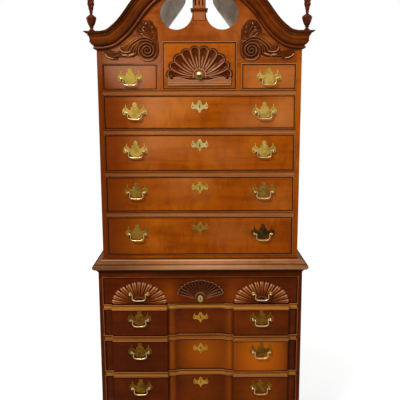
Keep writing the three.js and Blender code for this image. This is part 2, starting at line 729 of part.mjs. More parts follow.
// Cornice at the right: side return, mitre, swan neck and rosette in one
function cornice () {
  const section = corniceShares.map(([up, out]) => [up * CORNICE_HEIGHT, SEAM + out * CORNICE_PROJECTION])
  const stations = neckStations()
  const rings = [
    section.map(([up, out]) => [upperHalf + out, UPPER_DEPTH, corniceFoot + up]),
    section.map(([up, out]) => [upperHalf + out, -out, corniceFoot + up])
  ]
  for (const s of stations.slice(1)) {
    rings.push(section.map(([up, out]) => [s.x + s.nx * up, -out, s.z + s.nz * up]))
  }
  const front = -SEAM - CORNICE_PROJECTION - ROSETTE_PROUD
  const rosette = frontBar(ROSETTE_X, rosetteZ, ROSETTE_RADIUS, front, -SEAM, FINIAL_SIDES * 2)
  const boss = frontBar(ROSETTE_X, rosetteZ, ROSETTE_BOSS, front - ROSETTE_PROUD, -SEAM, FINIAL_SIDES)
  return solidOf(skin(rings)).add(rosette).add(boss)
}

// A circle of points
function circle (x, z, radius, sides) {
  return Array.from({ length: sides }, (_, i) => {
    const turn = 2 * Math.PI * i / sides
    return [x + radius * Math.cos(turn), z + radius * Math.sin(turn)]
  })
}

// Pediment board with its two openings, the neck between them and the fluted plinth
function pedimentBoard () {
  const foot = smallTop + BEAD_WIDTH + SEAM
  const half = upperOpening - SEAM * 2
  const top = neckLine(CORNICE_HEIGHT - ROOF_DROP).filter(([x]) => x < half)
  const edge = [half, corniceTop - ROOF_DROP]
  const right = [[0, foot], [half, foot], edge, ...top, [ROSETTE_X, openingZ], [0, openingZ]]
  const rear = PEDIMENT_BOARD
  const backing = ROSETTE_RADIUS - ROOF_DROP
  const plate = frontPlate(right, 0, rear)
  const round = circle(OPENING_X, openingZ, OPENING_RADIUS, OPENING_SIDES)
  const hole = frontPlate(round, -CUT_OVERRUN, CUT_OVERRUN)
  const cleft = block(PLINTH_WIDTH / 2, ROSETTE_X, -CUT_OVERRUN, CUT_OVERRUN, openingZ, plinthTop)
  const disc = frontBar(ROSETTE_X, rosetteZ, backing, 0, rear, FINIAL_SIDES * 2)
  const rightHalf = plate.subtract(cleft).add(disc).subtract(hole)
  const leftHalf = solidOf(mirrored(geometryOf(rightHalf)))
  const plinthHalf = PLINTH_WIDTH / 2
  const collar = plinthHalf + COLLAR_PROUD
  const opening = block(-centreHalf, centreHalf, -CUT_OVERRUN, CUT_OVERRUN, foot - CUT_OVERRUN, centreTop)
  const beads = beadFrame(-centreHalf, centreHalf, topFoot, centreTop)
  const aboveFoot = block(-upperHalf, upperHalf, -CUT_OVERRUN, CUT_OVERRUN, foot, corniceTop)
  const board = joined([
    rightHalf, leftHalf, beads.intersect(aboveFoot),
    block(-plinthHalf, plinthHalf, 0, PLINTH_WIDTH, openingZ - OPENING_RADIUS / 2, plinthTop),
    block(-collar, collar, -COLLAR_PROUD, PLINTH_WIDTH + COLLAR_PROUD, collarFoot, collarFoot + COLLAR_HEIGHT)
  ])
  const fluteFoot = collarFoot + COLLAR_HEIGHT * 2
  const fluteHead = plinthTop - COLLAR_HEIGHT
  const flutes = [-1, 0, 1].map(i => {
    const middle = i * FLUTE_PITCH
    const reach = FLUTE_WIDTH / 2
    return block(middle - reach, middle + reach, -CUT_OVERRUN, FLUTE_DEPTH, fluteFoot, fluteHead)
  })
  return board.subtract(joined([opening, ...flutes]))
}

// The roof's line at one end of the bonnet: over the right half, down the lining of the cleft, across
// its floor and the same again at the left
function bonnetLine (shares) {
  const half = upperInner - SEAM
  const roof = neckLine(CORNICE_HEIGHT - ROOF_DROP).filter(([x], i) => x < half - ROOF_DROP && i % 2 === 0)
  const radius = OPENING_RADIUS
  const lining = shares.map(([along, up]) => [OPENING_X + along * radius, openingZ + up * radius])
  const right = [[half, corniceTop - ROOF_DROP], ...roof.slice(0, -1), ...lining]
  return [...right, ...right.map(([x, z]) => [-x, z]).reverse()]
}

// A line moved to its own left by a distance
function besideLine (line, distance) {
  return line.map(([x, z], i) => {
    const [x0, z0] = line[Math.max(i - 1, 0)]
    const [x1, z1] = line[Math.min(i + 1, line.length - 1)]
    const length = Math.hypot(x1 - x0, z1 - z0)
    return [x - distance * (z1 - z0) / length, z + distance * (x1 - x0) / length]
  })
}

// Bonnet: one bent sheet from the pediment board to the back
function bonnetRoof () {
  const ends = [[PEDIMENT_BOARD + SEAM, liningFrontShares], [UPPER_DEPTH, liningRearShares]]
  const rings = ends.map(([y, shares]) => {
    const line = bonnetLine(shares)
    const under = besideLine(line, ROOF_SHEET).reverse()
    return [...line, ...under].map(([x, z]) => [x, y, z])
  })
  return solidOf(skin(rings))
}

// Board that closes the bonnet at the back, under the sheet and below the cleft's floor
function bonnetBackBoard () {
  const inside = besideLine(bonnetLine(liningRearShares), ROOF_SHEET * BACK_CLEAR_SHARE)
  const foot = subTop + CASE_BOARD + SEAM
  const half = upperInner - SEAM
  const outline = [[half, foot], ...inside.slice(1, -1), [-half, foot]]
  return frontPlate(outline, backFace, UPPER_DEPTH)
}

// Scalloped half-ellipse of a shell, seen from the front, its middle at x and its foot at z
function shellOutline (x, z, half, height, lobes) {
  const outline = []
  const count = lobes * SHELL_STEPS
  for (let i = 0; i <= count; i++) {
    const turn = Math.PI * i / count
    const swell = 1 - SCALLOP_SHARE * (1 - Math.abs(Math.sin(lobes * turn)))
    outline.push([x + half * swell * Math.cos(turn), z + height * swell * Math.sin(turn)])
  }
  return outline
}

// An outline given for its right half, from the top down, as shares of a width and a height
function halvedOutline (shares, x, z, width, height) {
  const right = shares.map(([along, up]) => [x + along * width, z + up * height])
  const left = shares.slice(1, -1).map(([along, up]) => [x - along * width, z + up * height])
  return [...right, ...left.reverse()]
}

// Handle plate with its two posts. The ground is the y of the wood, the line that of the hinge
function handlePlate (x, z, ground, line) {
  const outline = halvedOutline(plateShares, x, z, PLATE_WIDTH, PLATE_HEIGHT)
  const plate = frontPlate(outline, ground - PLATE_THICKNESS, ground + PLATE_SUNK)
  const posts = [-1, 1].map(side => handlePost(x + side * BORING / 2, z, ground, line))
  return joined([plate, ...posts])
}

function handlePost (x, z, ground, line) {
  return frontBar(x, z, POST_RADIUS, line - POST_PAST, ground + PLATE_SUNK, POST_SIDES)
}

// Two roses with their posts, where a handle has no plate
function handleRoses (x, z, ground, line) {
  return joined([-1, 1].flatMap(side => {
    const at = x + side * BORING / 2
    const rose = frontBar(at, z, ROSE_RADIUS, ground - ROSE_THICKNESS, ground + PLATE_SUNK, FINIAL_SIDES)
    return [rose, handlePost(at, z, ground, line)]
  }))
}

function keyPlate (x, z, ground, width) {
  const outline = halvedOutline(keyPlateShares, x, z, width, width * ESCUTCHEON_SHARE)
  return frontPlate(outline, ground - PLATE_THICKNESS, ground + PLATE_SUNK)
}

// Oval keyhole plate of the shell drawer, standing out of its pocket
function ovalPlate () {
  const ground = DRAWER_INSET + POCKET_SHELL_DEPTH
  const oval = circle(0, 0, 1, FINIAL_SIDES * 2).map(([across, up]) => {
    return [across * OVAL_WIDTH / 2, OVAL_CENTRE_HEIGHT + up * OVAL_HEIGHT / 2]
  })
  return frontPlate(oval, -PLATE_THICKNESS, ground + PLATE_SUNK)
}

function knob (x, z, ground) {
  const profile = knobShares.map(([out, along]) => new THREE.Vector2(out * KNOB_RADIUS, along * KNOB_LENGTH))
  const turned = new THREE.LatheGeometry(profile, FINIAL_SIDES)
  turned.rotateX(Math.PI / 2)
  turned.scale(1, -1, 1)
  turned.translate(x, ground + PLATE_SUNK, z)
  return solidOf(facingOut(turned))
}

// A bail about its own hinge line at the origin, hanging down
function bail () {
  const half = bailShares.map(([along, down]) => [along * BORING / 2, down * BAIL_DROP])
  const reach = BORING / 2 - POST_RADIUS - SEAM
  const right = [[reach, 0], ...half]
  const points = [...right, ...right.slice().reverse().map(([x, z]) => [-x, z])]
  const middle = (points.length - 1) / 2
  const rings = points.map(([x, z], i) => {
    const [x0, z0] = points[Math.max(i - 1, 0)]
    const [x1, z1] = points[Math.min(i + 1, points.length - 1)]
    const square = i === 0 || i === points.length - 1
    const length = square ? 1 : Math.hypot(x1 - x0, z1 - z0)
    const nx = square ? 0 : (z1 - z0) / length
    const nz = square ? 1 : -(x1 - x0) / length
    const grip = Math.max(0, 1 - Math.abs(i - middle) / (middle / 2))
    const radius = BAIL_RADIUS + (GRIP_RADIUS - BAIL_RADIUS) * grip
    return Array.from({ length: BAIL_SIDES }, (_, k) => {
      const turn = 2 * Math.PI * (k + 0.5) / BAIL_SIDES
      const side = radius * Math.cos(turn)
      return [x + nx * side, radius * Math.sin(turn), z + nz * side]
    })
  })
  return skin(rings)
}

const bailGeometry = bail()

// A drawer: front and box under one group whose origin is the opening's foot, at the middle of its face
function addDrawer (parent, spec) {
  const drawer = new THREE.Group()
  drawer.position.set(spec.x, spec.face, spec.row.foot)
  const height = spec.row.top - spec.row.foot
  const half = spec.half - DRAWER_GAP
  const lines = spec.handles.map(at => ({ ...at, line: at.ground - HINGE_OUT }))
  const front = spec.front(half, DRAWER_GAP, height - DRAWER_GAP)
  const brasses = lines.map(at => spec.plated ? handlePlate(at.x, at.z, at.ground, at.line)
    : handleRoses(at.x, at.z, at.ground, at.line))
  const whole = joined([front, ...brasses, ...spec.extras])
  drawer.add(named(spec.name + '_front', geometryOf(whole), spec.wood))
  const y0 = spec.thickness + SEAM
  const y1 = backFace - spec.face - BOX_TAIL
  const top = height - BOX_DROP
  const inner = half - DRAWER_SIDE
  const outer = block(-half, half, y0, y1, RUN_GAP, top)
  const hollow = block(-inner, inner, y0 - CUT_OVERRUN, y1 - DRAWER_SIDE, RUN_GAP + DRAWER_BOTTOM,
    top + CUT_OVERRUN)
  drawer.add(named(spec.name + '_box', geometryOf(outer.subtract(hollow)), poplar))
  lines.forEach((at, i) => {
    const side = lines.length === 1 ? '' : ['_left', '_right'][i]
    const swing = named(spec.name + side + '_bail', bailGeometry, brass)
    swing.position.set(at.x, at.line, at.z)
    drawer.add(swing)
  })
  parent.add(drawer)
}

// Places of a left and a right handle on a front
function handlePair (x, z, ground) {
  return [-1, 1].map(side => ({ x: side * x, z, ground }))
}

// Plain front between its two heights
function plainFront (half, z0, z1) {
  return block(-half, half, DRAWER_INSET, UPPER_FRONT, z0, z1)
}

// Front that follows the blocks
function blockedFront (half, z0, z1) {
  const plate = blockedBar(half, -DRAWER_INSET, lowerFace + LOWER_FRONT, z0, z1)
  return solidOf(geometryOf(plate).translate(0, -lowerFace, 0))
}

// Flat front with two raised shells and a sunk one between them
function shellFront (half, z0, z1) {
  const board = block(-half, half, DRAWER_INSET, LOWER_FRONT, z0, z1)
  const raised = [-1, 1].map(side => {
    const outline = shellOutline(side * lowerHandle, z0, SIDE_SHELL_HALF, SIDE_SHELL_HEIGHT,
      SIDE_SHELL_LOBES)
    return frontPlate(outline, -SIDE_SHELL_PROUD, LOWER_FRONT / 2)
  })
  const sunk = shellOutline(0, POCKET_SHELL_FOOT, POCKET_SHELL_HALF, POCKET_SHELL_HEIGHT,
    POCKET_SHELL_LOBES)
  const pocket = frontPlate(sunk, -CUT_OVERRUN, DRAWER_INSET + POCKET_SHELL_DEPTH)
  return joined([board, ...raised]).subtract(pocket)
}

// Centre top front with its raised shell
function centreShellFront (half, z0, z1) {
  const shell = shellOutline(0, CENTRE_SHELL_FOOT, CENTRE_SHELL_HALF, CENTRE_SHELL_HEIGHT,
    CENTRE_SHELL_LOBES)
  return plainFront(half, z0, z1).add(frontPlate(shell, -CENTRE_SHELL_PROUD, UPPER_FRONT / 2))
}

// Applied scroll at the right: leaf ground with its volute
function carvedScroll () {
  const foot = scrollFoot
  const reach = scrollHeight * VOLUTE_SHARE
  const middle = [scrollInner + scrollWidth * VOLUTE_IN_SHARE, foot + scrollHeight * VOLUTE_UP_SHARE]
  const outline = scrollShares.map(([along, up]) => {
    return [scrollInner + along * scrollWidth, foot + up * scrollHeight]
  })
  const ground = frontPlate(outline, -SCROLL_GROUND - SEAM, -SEAM)
  const spiral = Array.from({ length: VOLUTE_STEPS + 1 }, (_, i) => {
    const along = i / VOLUTE_STEPS
    const radius = reach + (VOLUTE_BAND - reach) * along
    return { turn: VOLUTE_TURNS * 2 * Math.PI * along, radius }
  })
  const at = (turn, radius) => [middle[0] + radius * Math.cos(turn + Math.PI / 2),
    middle[1] + radius * Math.sin(turn + Math.PI / 2)]
  const outer = spiral.map(s => at(s.turn, s.radius))
  const inner = spiral.map(s => at(s.turn, s.radius - VOLUTE_BAND)).reverse()
  const band = frontPlate([...outer, ...inner], -SCROLL_GROUND - VOLUTE_PROUD, -SCROLL_GROUND / 2)
  return ground.add(band)
}

// A turned finial standing at the origin
function finial (radius, height) {
  const profile = finialShares.map(([out, up]) => new THREE.Vector2(out * radius, up * height))
  const turned = new THREE.LatheGeometry(profile, FINIAL_SIDES)
  turned.rotateX(Math.PI / 2)
  return turned
}

// The whole, case first
const group = new THREE.Group()
const bothSides = [
  ['cornice', geometryOf(cornice()), darkCherry, ''],
  ['carved_scroll', geometryOf(carvedScroll()), cherry, ''],
  ['front', geometryOf(frontFoot()), darkCherry, '_foot'],
  ['rear', geometryOf(rearFoot()), darkCherry, '_foot']
]
for (const [stem, geometry, material, end] of bothSides) {
  group.add(named(stem + '_right' + end, geometry, material))
  group.add(named(stem + '_left' + end, mirrored(geometry), material))
}
group.add(named('lower_carcass', geometryOf(lowerCarcass()), darkCherry))
group.add(named('lower_back_panel', geometryOf(backPanel(lowerOpening, FOOT_HEIGHT, lowerTop)), poplar))
group.add(named('base_moulding', geometryOf(baseMoulding()), darkCherry))
group.add(named('waist_moulding', geometryOf(waistMoulding()), darkCherry))
group.add(named('upper_carcass', geometryOf(upperCarcass()), cherry))
group.add(named('upper_back_panel',
  geometryOf(backPanel(upperInner, lowerTop + SEAM, subTop + CASE_BOARD)), poplar))
group.add(named('pediment_board', geometryOf(pedimentBoard()), cherry))
group.add(named('bonnet_roof', geometryOf(bonnetRoof()), rawBoard))
group.add(named('bonnet_back_board', geometryOf(bonnetBackBoard()), rawBoard))

// Finials on the cornice's corners and on the plinth
const finials = [
  ['finial_left', -sideFinial, -SIDE_FINIAL_OUT, corniceTop, SIDE_FINIAL_RADIUS, SIDE_FINIAL_HEIGHT],
  ['finial_right', sideFinial, -SIDE_FINIAL_OUT, corniceTop, SIDE_FINIAL_RADIUS, SIDE_FINIAL_HEIGHT],
  ['finial_centre', 0, PLINTH_WIDTH / 2, plinthTop, CENTRE_FINIAL_RADIUS, CENTRE_FINIAL_HEIGHT]
]
for (const [name, x, y, z, radius, height] of finials) {
  const turned = named(name, finial(radius, height), finialWood)
  turned.position.set(x, y, z + SEAM)
  group.add(turned)
}

// Long drawers of the upper case, from the waist up
upperRows.forEach((row, i) => {
  addDrawer(group, {
    name: 'upper_drawer_' + (upperRows.length - i),
    x: 0,
    face: 0,
    half: upperOpening,
    row,
    thickness: UPPER_FRONT,
    wood: cherry,
    plated: true,
    front: plainFront,
    handles: handlePair(upperHandle, LONG_POST_HEIGHTS[i], DRAWER_INSET),
    extras: [keyPlate(0, LONG_KEY_HEIGHTS[i], DRAWER_INSET, UPPER_ESCUTCHEON)]
  })
})

// Small drawers at the top, left and right
const smallRow = { foot: topFoot, top: smallTop }
for (const [side, sign] of [['left', -1], ['right', 1]]) {
  addDrawer(group, {
    name: 'top_' + side + '_drawer',
    x: sign * (partitionOuter + upperOpening) / 2,
    face: 0,
    half: (upperOpening - partitionOuter) / 2,
    row: smallRow,
    thickness: UPPER_FRONT,
    wood: cherry,
    plated: true,
    front: plainFront,
    handles: [{ x: 0, z: SMALL_POST_HEIGHT, ground: DRAWER_INSET }],
    extras: []
  })
}

addDrawer(group, {
  name: 'top_centre_drawer',
  x: 0,
  face: 0,
  half: centreHalf,
  row: { foot: topFoot, top: centreTop },
  thickness: UPPER_FRONT,
  wood: cherry,
  plated: true,
  front: centreShellFront,
  handles: [],
  extras: [knob(0, CENTRE_SHELL_FOOT + KNOB_RADIUS * KNOB_RISE_SHARE, -CENTRE_SHELL_PROUD)]
})

// Block-front drawers of the lower case, from the base up
lowerRows.slice(0, -1).forEach((row, i) => {
  addDrawer(group, {
    name: 'block_drawer_' + (BLOCK_DRAWER_HEIGHTS.length - i),
    x: 0,
    face: lowerFace,
    half: lowerOpening,
    row,
    thickness: LOWER_FRONT,
    wood: darkCherry,
    plated: true,
    front: blockedFront,
    handles: handlePair(lowerHandle, BLOCK_POST_HEIGHTS[i], DRAWER_INSET - BLOCK_PROUD),
    extras: [keyPlate(0, BLOCK_KEY_HEIGHTS[i], DRAWER_INSET + RECESS_DEPTH, LOWER_ESCUTCHEON)]
  })
})

addDrawer(group, {
  name: 'shell_drawer',
  x: 0,
  face: lowerFace,
  half: lowerOpening,
  row: shellRow,
  thickness: LOWER_FRONT,
  wood: darkCherry,
  plated: false,
  front: shellFront,
  handles: handlePair(lowerHandle, SHELL_POST_HEIGHT, -SIDE_SHELL_PROUD),
  extras: [ovalPlate()]
})

// The origin goes to the middle of the foot of the bounding box
group.updateMatrixWorld(true)
const bounds = new THREE.Box3().setFromObject(group, true)
group.position.set(-(bounds.min.x + bounds.max.x) / 2, -(bounds.min.y + bounds.max.y) / 2, -bounds.min.z)

export default group
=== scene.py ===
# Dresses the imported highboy: boards with their own grain, smooth mouldings, carved shells and scrolls,
# flame finials and pierced brasses, each riding on the body that carries it.
# Shapes are worked out in millimetres, y = 0 at the upper case's face, and buildPiece turns them to metres.

import math
import bpy
import numpy as np
from mathutils import Matrix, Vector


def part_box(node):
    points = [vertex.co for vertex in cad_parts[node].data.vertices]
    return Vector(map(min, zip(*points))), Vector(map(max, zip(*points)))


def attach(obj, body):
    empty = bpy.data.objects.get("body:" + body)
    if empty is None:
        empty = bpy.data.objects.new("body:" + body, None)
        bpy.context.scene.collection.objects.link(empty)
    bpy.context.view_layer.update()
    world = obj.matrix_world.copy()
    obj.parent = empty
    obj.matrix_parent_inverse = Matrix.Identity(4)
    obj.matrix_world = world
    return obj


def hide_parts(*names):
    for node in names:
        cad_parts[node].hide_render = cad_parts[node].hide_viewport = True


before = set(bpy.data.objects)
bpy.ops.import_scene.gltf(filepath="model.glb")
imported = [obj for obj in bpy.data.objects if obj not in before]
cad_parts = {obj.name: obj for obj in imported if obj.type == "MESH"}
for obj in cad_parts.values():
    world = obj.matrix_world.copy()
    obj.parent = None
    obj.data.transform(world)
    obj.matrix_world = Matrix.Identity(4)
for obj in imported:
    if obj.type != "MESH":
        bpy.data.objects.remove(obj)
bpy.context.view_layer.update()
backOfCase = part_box("upper_carcass")[1].y
scene = bpy.context.scene

# Camera of the photograph
view = {"lens": 53.28, "place": (0.0, -2.9231, 1.7), "down": 9.6, "roll": -0.25}
cameraData = bpy.data.cameras.new("camera")
cameraData.lens = view["lens"]
cameraData.clip_end = 40
camera = bpy.data.objects.new("camera", cameraData)
scene.collection.objects.link(camera)
tilt = Matrix.Rotation(math.radians(90 - view["down"]), 4, "X")
roll = Matrix.Rotation(math.radians(view["roll"]), 4, "Z")
camera.matrix_world = Matrix.Translation(view["place"]) @ tilt @ roll
scene.camera = camera
print("camera placed")

# Sizes of the case, as the solids have them
case = {
    "upperWidth": 920, "upperDepth": 458, "lowerWidth": 964, "step": 22, "side": 20, "lowerStile": 21,
    "upperStile": 26.5, "stileDepth": 24, "back": 12, "railDepth": 60, "board": 18, "runner": 38, "seam": 0.3,
    "foot": 135, "base": 45, "bottomRail": 16, "blockRows": (180, 154, 128), "shellRow": 129, "lowerRail": 28,
    "lowerTopRail": 26, "waist": 64, "upperBottomRail": 17, "longRows": (179, 161, 165, 148), "upperRail": 29,
    "smallRow": 110, "centreRow": 207, "frieze": 66, "centreWidth": 328.6, "partition": 28.4,
    "blockInner": 158, "blockMargin": 62, "blockProud": 18, "blockRound": 5, "recessHalf": 125,
    "recessDepth": 12, "recessCurve": 30, "cornice": 77, "neckRise": 230,
}
bead = {"width": 4.5, "proud": 2.0, "sunk": 0.2, "depth": 4.0, "quirk": 0.9, "quirkDepth": 1.6, "lap": 0.5}
drawer = {"gap": 1.2, "inset": 1.0, "lift": 0.5, "upperFront": 20, "lowerFront": 30, "side": 12, "bottom": 8,
          "drop": 16, "tail": 10}

upperHalf = case["upperWidth"] / 2
lowerHalf = case["lowerWidth"] / 2
lowerFace = -case["step"]
upperInner = upperHalf - case["side"]
upperOpening = upperHalf - case["upperStile"]
lowerOpening = lowerHalf - case["lowerStile"]
blockOuter = lowerHalf - case["blockMargin"]
depth = case["upperDepth"]
backFace = depth - case["back"]


def stackRows(foot, heights, rail):  # foot and top of each row, from the floor up
    feet = foot + np.cumsum([0] + [h + rail for h in heights[:-1]])
    return [(float(f), float(f + h)) for f, h in zip(feet, heights)]


lowerRows = stackRows(case["foot"] + case["base"] + case["bottomRail"],
                      list(case["blockRows"]) + [case["shellRow"]], case["lowerRail"])
shellRow = lowerRows[-1]
lowerTop = shellRow[1] + case["lowerTopRail"]
upperFoot = lowerTop + case["waist"]
upperRows = stackRows(upperFoot + case["upperBottomRail"], list(case["longRows"]), case["upperRail"])
topFoot = upperRows[-1][1] + case["upperRail"]
smallTop = topFoot + case["smallRow"]
centreTop = topFoot + case["centreRow"]
centreHalf = case["centreWidth"] / 2
partitionOuter = centreHalf + case["partition"]
smallMiddle = (partitionOuter + upperOpening) / 2
corniceFoot = smallTop + case["frieze"]
corniceTop = corniceFoot + case["cornice"]
subTop = centreTop + bead["width"] + case["seam"]


# Shaders: a wire carries a value, and sums on wires add Math nodes
class Wire:
    def __init__(self, look, socket):  # the look whose tree it is in, and the socket that it comes from
        self.look, self.socket = look, socket

    def maths(self, operation, *others):
        return self.look.node("ShaderNodeMath", {"operation": operation}, (self, *others))

    def __add__(self, other):
        return self.maths("ADD", other)

    def __sub__(self, other):
        return self.maths("SUBTRACT", other)

    def __rsub__(self, other):
        return self.look.node("ShaderNodeMath", {"operation": "SUBTRACT"}, (other, self))

    def __mul__(self, other):
        return self.maths("MULTIPLY", other)

    def __pow__(self, other):
        return self.maths("POWER", other)

    def clamped(self):  # kept between 0 and 1
        return self.look.node("ShaderNodeClamp", {}, (self, 0.0, 1.0))

    def between(self, low, high):  # 0 at low, 1 at high, smooth between
        settings = {"interpolation_type": "SMOOTHSTEP"}
        return self.look.node("ShaderNodeMapRange", settings, (self, low, high, 0.0, 1.0))


class Look:  # a tree of nodes for a material, or for the world
    def __init__(self, name, owners=bpy.data.materials):
        self.owner = owners.new(name)
        self.owner.use_nodes = True
        self.tree = self.owner.node_tree
        self.shader = self.tree.nodes.get("Principled BSDF")

    def join(self, socket, value):  # links a wire to a socket, or sets the socket's own value
        if isinstance(value, Wire):
            self.tree.links.new(value.socket, socket)
        else:
            socket.default_value = value

    def node(self, kind, settings, inputs, out=0):  # settings first, then the sockets' values or links
        made = self.tree.nodes.new(kind)
        for key, value in settings.items():
            setattr(made, key, value)
        for key, value in inputs.items() if isinstance(inputs, dict) else enumerate(inputs):
            self.join(made.inputs[key], value)
        return Wire(self, made.outputs[out])

    def feed(self, name, value):  # to an input of the shader
        self.join(self.shader.inputs[name], value)

    def where(self):  # the place on the object, in metres
        return self.node("ShaderNodeTexCoord", {}, (), "Object")

    def axes(self, place, names):  # the parts of a place along the named axes
        return [self.node("ShaderNodeSeparateXYZ", {}, (place,), name) for name in names]

    def field(self, name):  # a value that the mesh holds at each point
        return self.node("ShaderNodeAttribute", {"attribute_name": name}, (), "Fac")

    def ray(self, kind):  # 1 for rays of a kind, 0 for others
        return self.node("ShaderNodeLightPath", {}, (), f"Is {kind} Ray")

    def noise(self, at, scale, detail=3.0, rough=0.5, bend=0.0):  # cloudy, between 0 and 1
        return self.node("ShaderNodeTexNoise", {}, {"Vector": at, "Scale": scale, "Detail": detail,
                                                    "Roughness": rough, "Distortion": bend})

    def vector(self, operation, *inputs):  # sums and products of places
        return self.node("ShaderNodeVectorMath", {"operation": operation}, inputs)

    def blend(self, share, first, second):  # from one colour to another, as far as the share says
        return self.node("ShaderNodeMix", {"data_type": "RGBA"}, {0: share, 6: first, 7: second}, 2)

    def bump(self, height, strength, distance):  # tilts the surface by a height's slope
        return self.node("ShaderNodeBump", {}, {"Height": height, "Strength": strength, "Distance": distance})


def tone(red, green, blue):  # a colour as it is seen, turned into linear values by the sRGB curve
    seen = np.array([red, green, blue]) / 255
    linear = np.where(seen <= 0.04045, seen / 12.92, ((seen + 0.055) / 1.055) ** 2.4)
    return (*[float(v) for v in linear], 1.0)


def shaded(colour, share):  # the colour at a share of its strength
    return [c * share for c in colour[:3]] + [1.0]


# Wood: growth bands, pore streaks and clouds, long in the grain's direction, moved on for each board.
# The point attributes add to it: "deep" is painted shade in hollows, in joints and under edges, "glow" is
# brighter above zero and darker below, as the wood's own tone and as painted light and shade, and
# "shine" is painted highlight and painted reflection on crowns, ridges and edges. Tones are dark, middle,
# pale and bright.
woodMarks = {"boardStep": (1.37, 0.83, 2.11), "ringScale": 6.5, "rings": 62.0, "growth": 120.0,
             "pores": 900.0, "clouds": 7.5, "figure": 15.0, "poreShade": 0.4, "hollow": 0.94,
             "hollowShade": 0.14, "shadeFrom": -0.43, "shadeTo": -0.2, "coatRough": 0.12, "index": 1.4,
             "specular": 0.14, "specularTint": (1.0, 0.6, 0.3, 1.0), "bump": 0.3, "bumpDepth": 0.0003}
highlightTone = tone(218, 155, 108)
hazeSpot = {"x": -0.3, "z": 1.87, "reach": 0.175, "tone": tone(172, 122, 92)}  # a pale reflection, upper left


def woodLook(name, grain, tones, rough=0.3, coat=0.06, bands=0.34, blotch=0.6, streak=0.25, leftShade=0.0,
             haze=0.0):
    # each mark is a noise, cut to a share by its two limits, that blends one tone over the last
    marks, look = woodMarks, Look(name)
    board = look.field("board")
    start = look.node("ShaderNodeCombineXYZ", {}, [board * step for step in marks["boardStep"]])
    place = look.where()
    at = look.vector("ADD", place, start)

    def drawn(along, across):  # the place with its scale along the grain and across it
        return look.vector("MULTIPLY", at, [along if i == grain else across for i in range(3)])

    fibres = drawn(0.055, 1.0)
    contour = look.noise(fibres, marks["ringScale"], 2.0, 0.45, 0.35)
    rings = (contour * marks["rings"]).maths("SINE") * 0.5 + 0.5
    grown = look.noise(fibres, marks["growth"], 4.0, 0.6) * 0.65 + rings * 0.35
    pores = look.noise(drawn(0.02, 1.0), marks["pores"], 2.0, 0.6).between(0.52, 0.75)
    cloud = look.noise(drawn(0.45, 1.0), marks["clouds"], 3.0, 0.6, 0.3)
    figure = look.noise(drawn(1.9, 0.8), marks["figure"], 2.0, 0.5, 0.5)
    deep, glow, shine = (look.field(label) for label in ("deep", "glow", "shine"))
    dark, mid, pale, bright = tones
    colour = look.blend((grown.between(0.3, 0.8) * bands).clamped(), mid, dark)
    colour = look.blend((cloud.between(0.44, 0.7) * blotch).clamped(), colour, pale)
    colour = look.blend((figure.between(0.42, 0.66) * (blotch * 0.5)).clamped(), colour, dark)
    colour = look.blend(glow.clamped(), colour, bright)
    colour = look.blend((glow * -1.0).clamped(), colour, dark)
    if leftShade:
        across, = look.axes(place, "X")
        lit = across.between(marks["shadeFrom"], marks["shadeTo"])
        colour = look.blend((1.0 - lit) * leftShade, colour, dark)
    if haze:
        across, up = (((part - hazeSpot[axis]) * (1 / hazeSpot["reach"])) ** 2.0
                      for part, axis in zip(look.axes(place, "XZ"), "xz"))
        colour = look.blend((1.0 - (across + up).between(0.0, 1.0)) * haze, colour, hazeSpot["tone"])
    colour = look.blend((pores * streak).clamped(), colour, shaded(dark, marks["poreShade"]))
    # painted highlight from "shine", then painted shade from "deep" in hollows and joints
    colour = look.blend((shine * (cloud * 0.5 + 0.75)).clamped(), colour, highlightTone)
    colour = look.blend((deep * marks["hollow"]).clamped(), colour, shaded(dark, marks["hollowShade"]))
    look.feed("Base Color", colour)
    look.feed("Roughness", (cloud * 0.14 + (rough - 0.07) + pores * 0.1 + deep * 0.25).clamped())
    look.feed("Coat Weight", coat)
    look.feed("Coat Roughness", marks["coatRough"])
    look.feed("IOR", marks["index"])
    look.feed("Specular IOR Level", marks["specular"])
    look.feed("Specular Tint", marks["specularTint"])
    look.feed("Normal", look.bump(grown * 0.4 - pores * 0.6 + cloud * 0.5, marks["bump"], marks["bumpDepth"]))
    return look.owner


woodTones = {
    "cherry": ((96, 34, 3), (156, 72, 3), (182, 96, 14), (204, 130, 68)),
    "rail": ((92, 36, 5), (138, 70, 18), (156, 86, 30), (200, 132, 76)),
    "bead": ((86, 34, 8), (140, 76, 30), (160, 96, 50), (210, 156, 108)),
    "pediment": ((92, 34, 8), (142, 68, 18), (164, 88, 34), (184, 116, 74)),
    "dark": ((58, 17, 1), (88, 29, 1), (116, 44, 3), (188, 92, 6)),
    # lowRail is the lower case's wood painted lighter, as painted light where light from above catches the
    # rails
    "lowRail": ((76, 28, 2), (128, 62, 10), (150, 82, 18), (198, 124, 46)),
    "moulding": ((42, 13, 1), (106, 44, 6), (130, 60, 12), (160, 88, 32)),
    "waist": ((72, 31, 8), (134, 78, 34), (160, 104, 56), (210, 158, 114)),
    "carved": ((56, 18, 2), (102, 44, 12), (130, 66, 24), (158, 86, 30)),
    "finial": ((40, 13, 4), (84, 32, 11), (120, 54, 22), (160, 96, 54)),
    "poplar": ((158, 122, 78), (196, 164, 116), (214, 188, 144), (226, 204, 164)),
    # grey boards painted paler than they are, as painted light on the lining seen in shade through the
    # openings
    "bonnet": ((146, 136, 126), (222, 213, 203), (238, 232, 224), (246, 243, 238)),
}
woodFinish = {
    "poplar": {"rough": 0.72, "coat": 0.0},
    "bonnet": {"rough": 0.75, "coat": 0.0, "bands": 0.35, "streak": 0.35},
    "cherry": {"leftShade": 0.85, "haze": 0.55},
    "rail": {"leftShade": 0.6},
    "bead": {"leftShade": 0.6},
    "pediment": {"bands": 0.35, "leftShade": 0.55, "haze": 0.42},
    "waist": {"leftShade": 0.6},
}
looks = {}


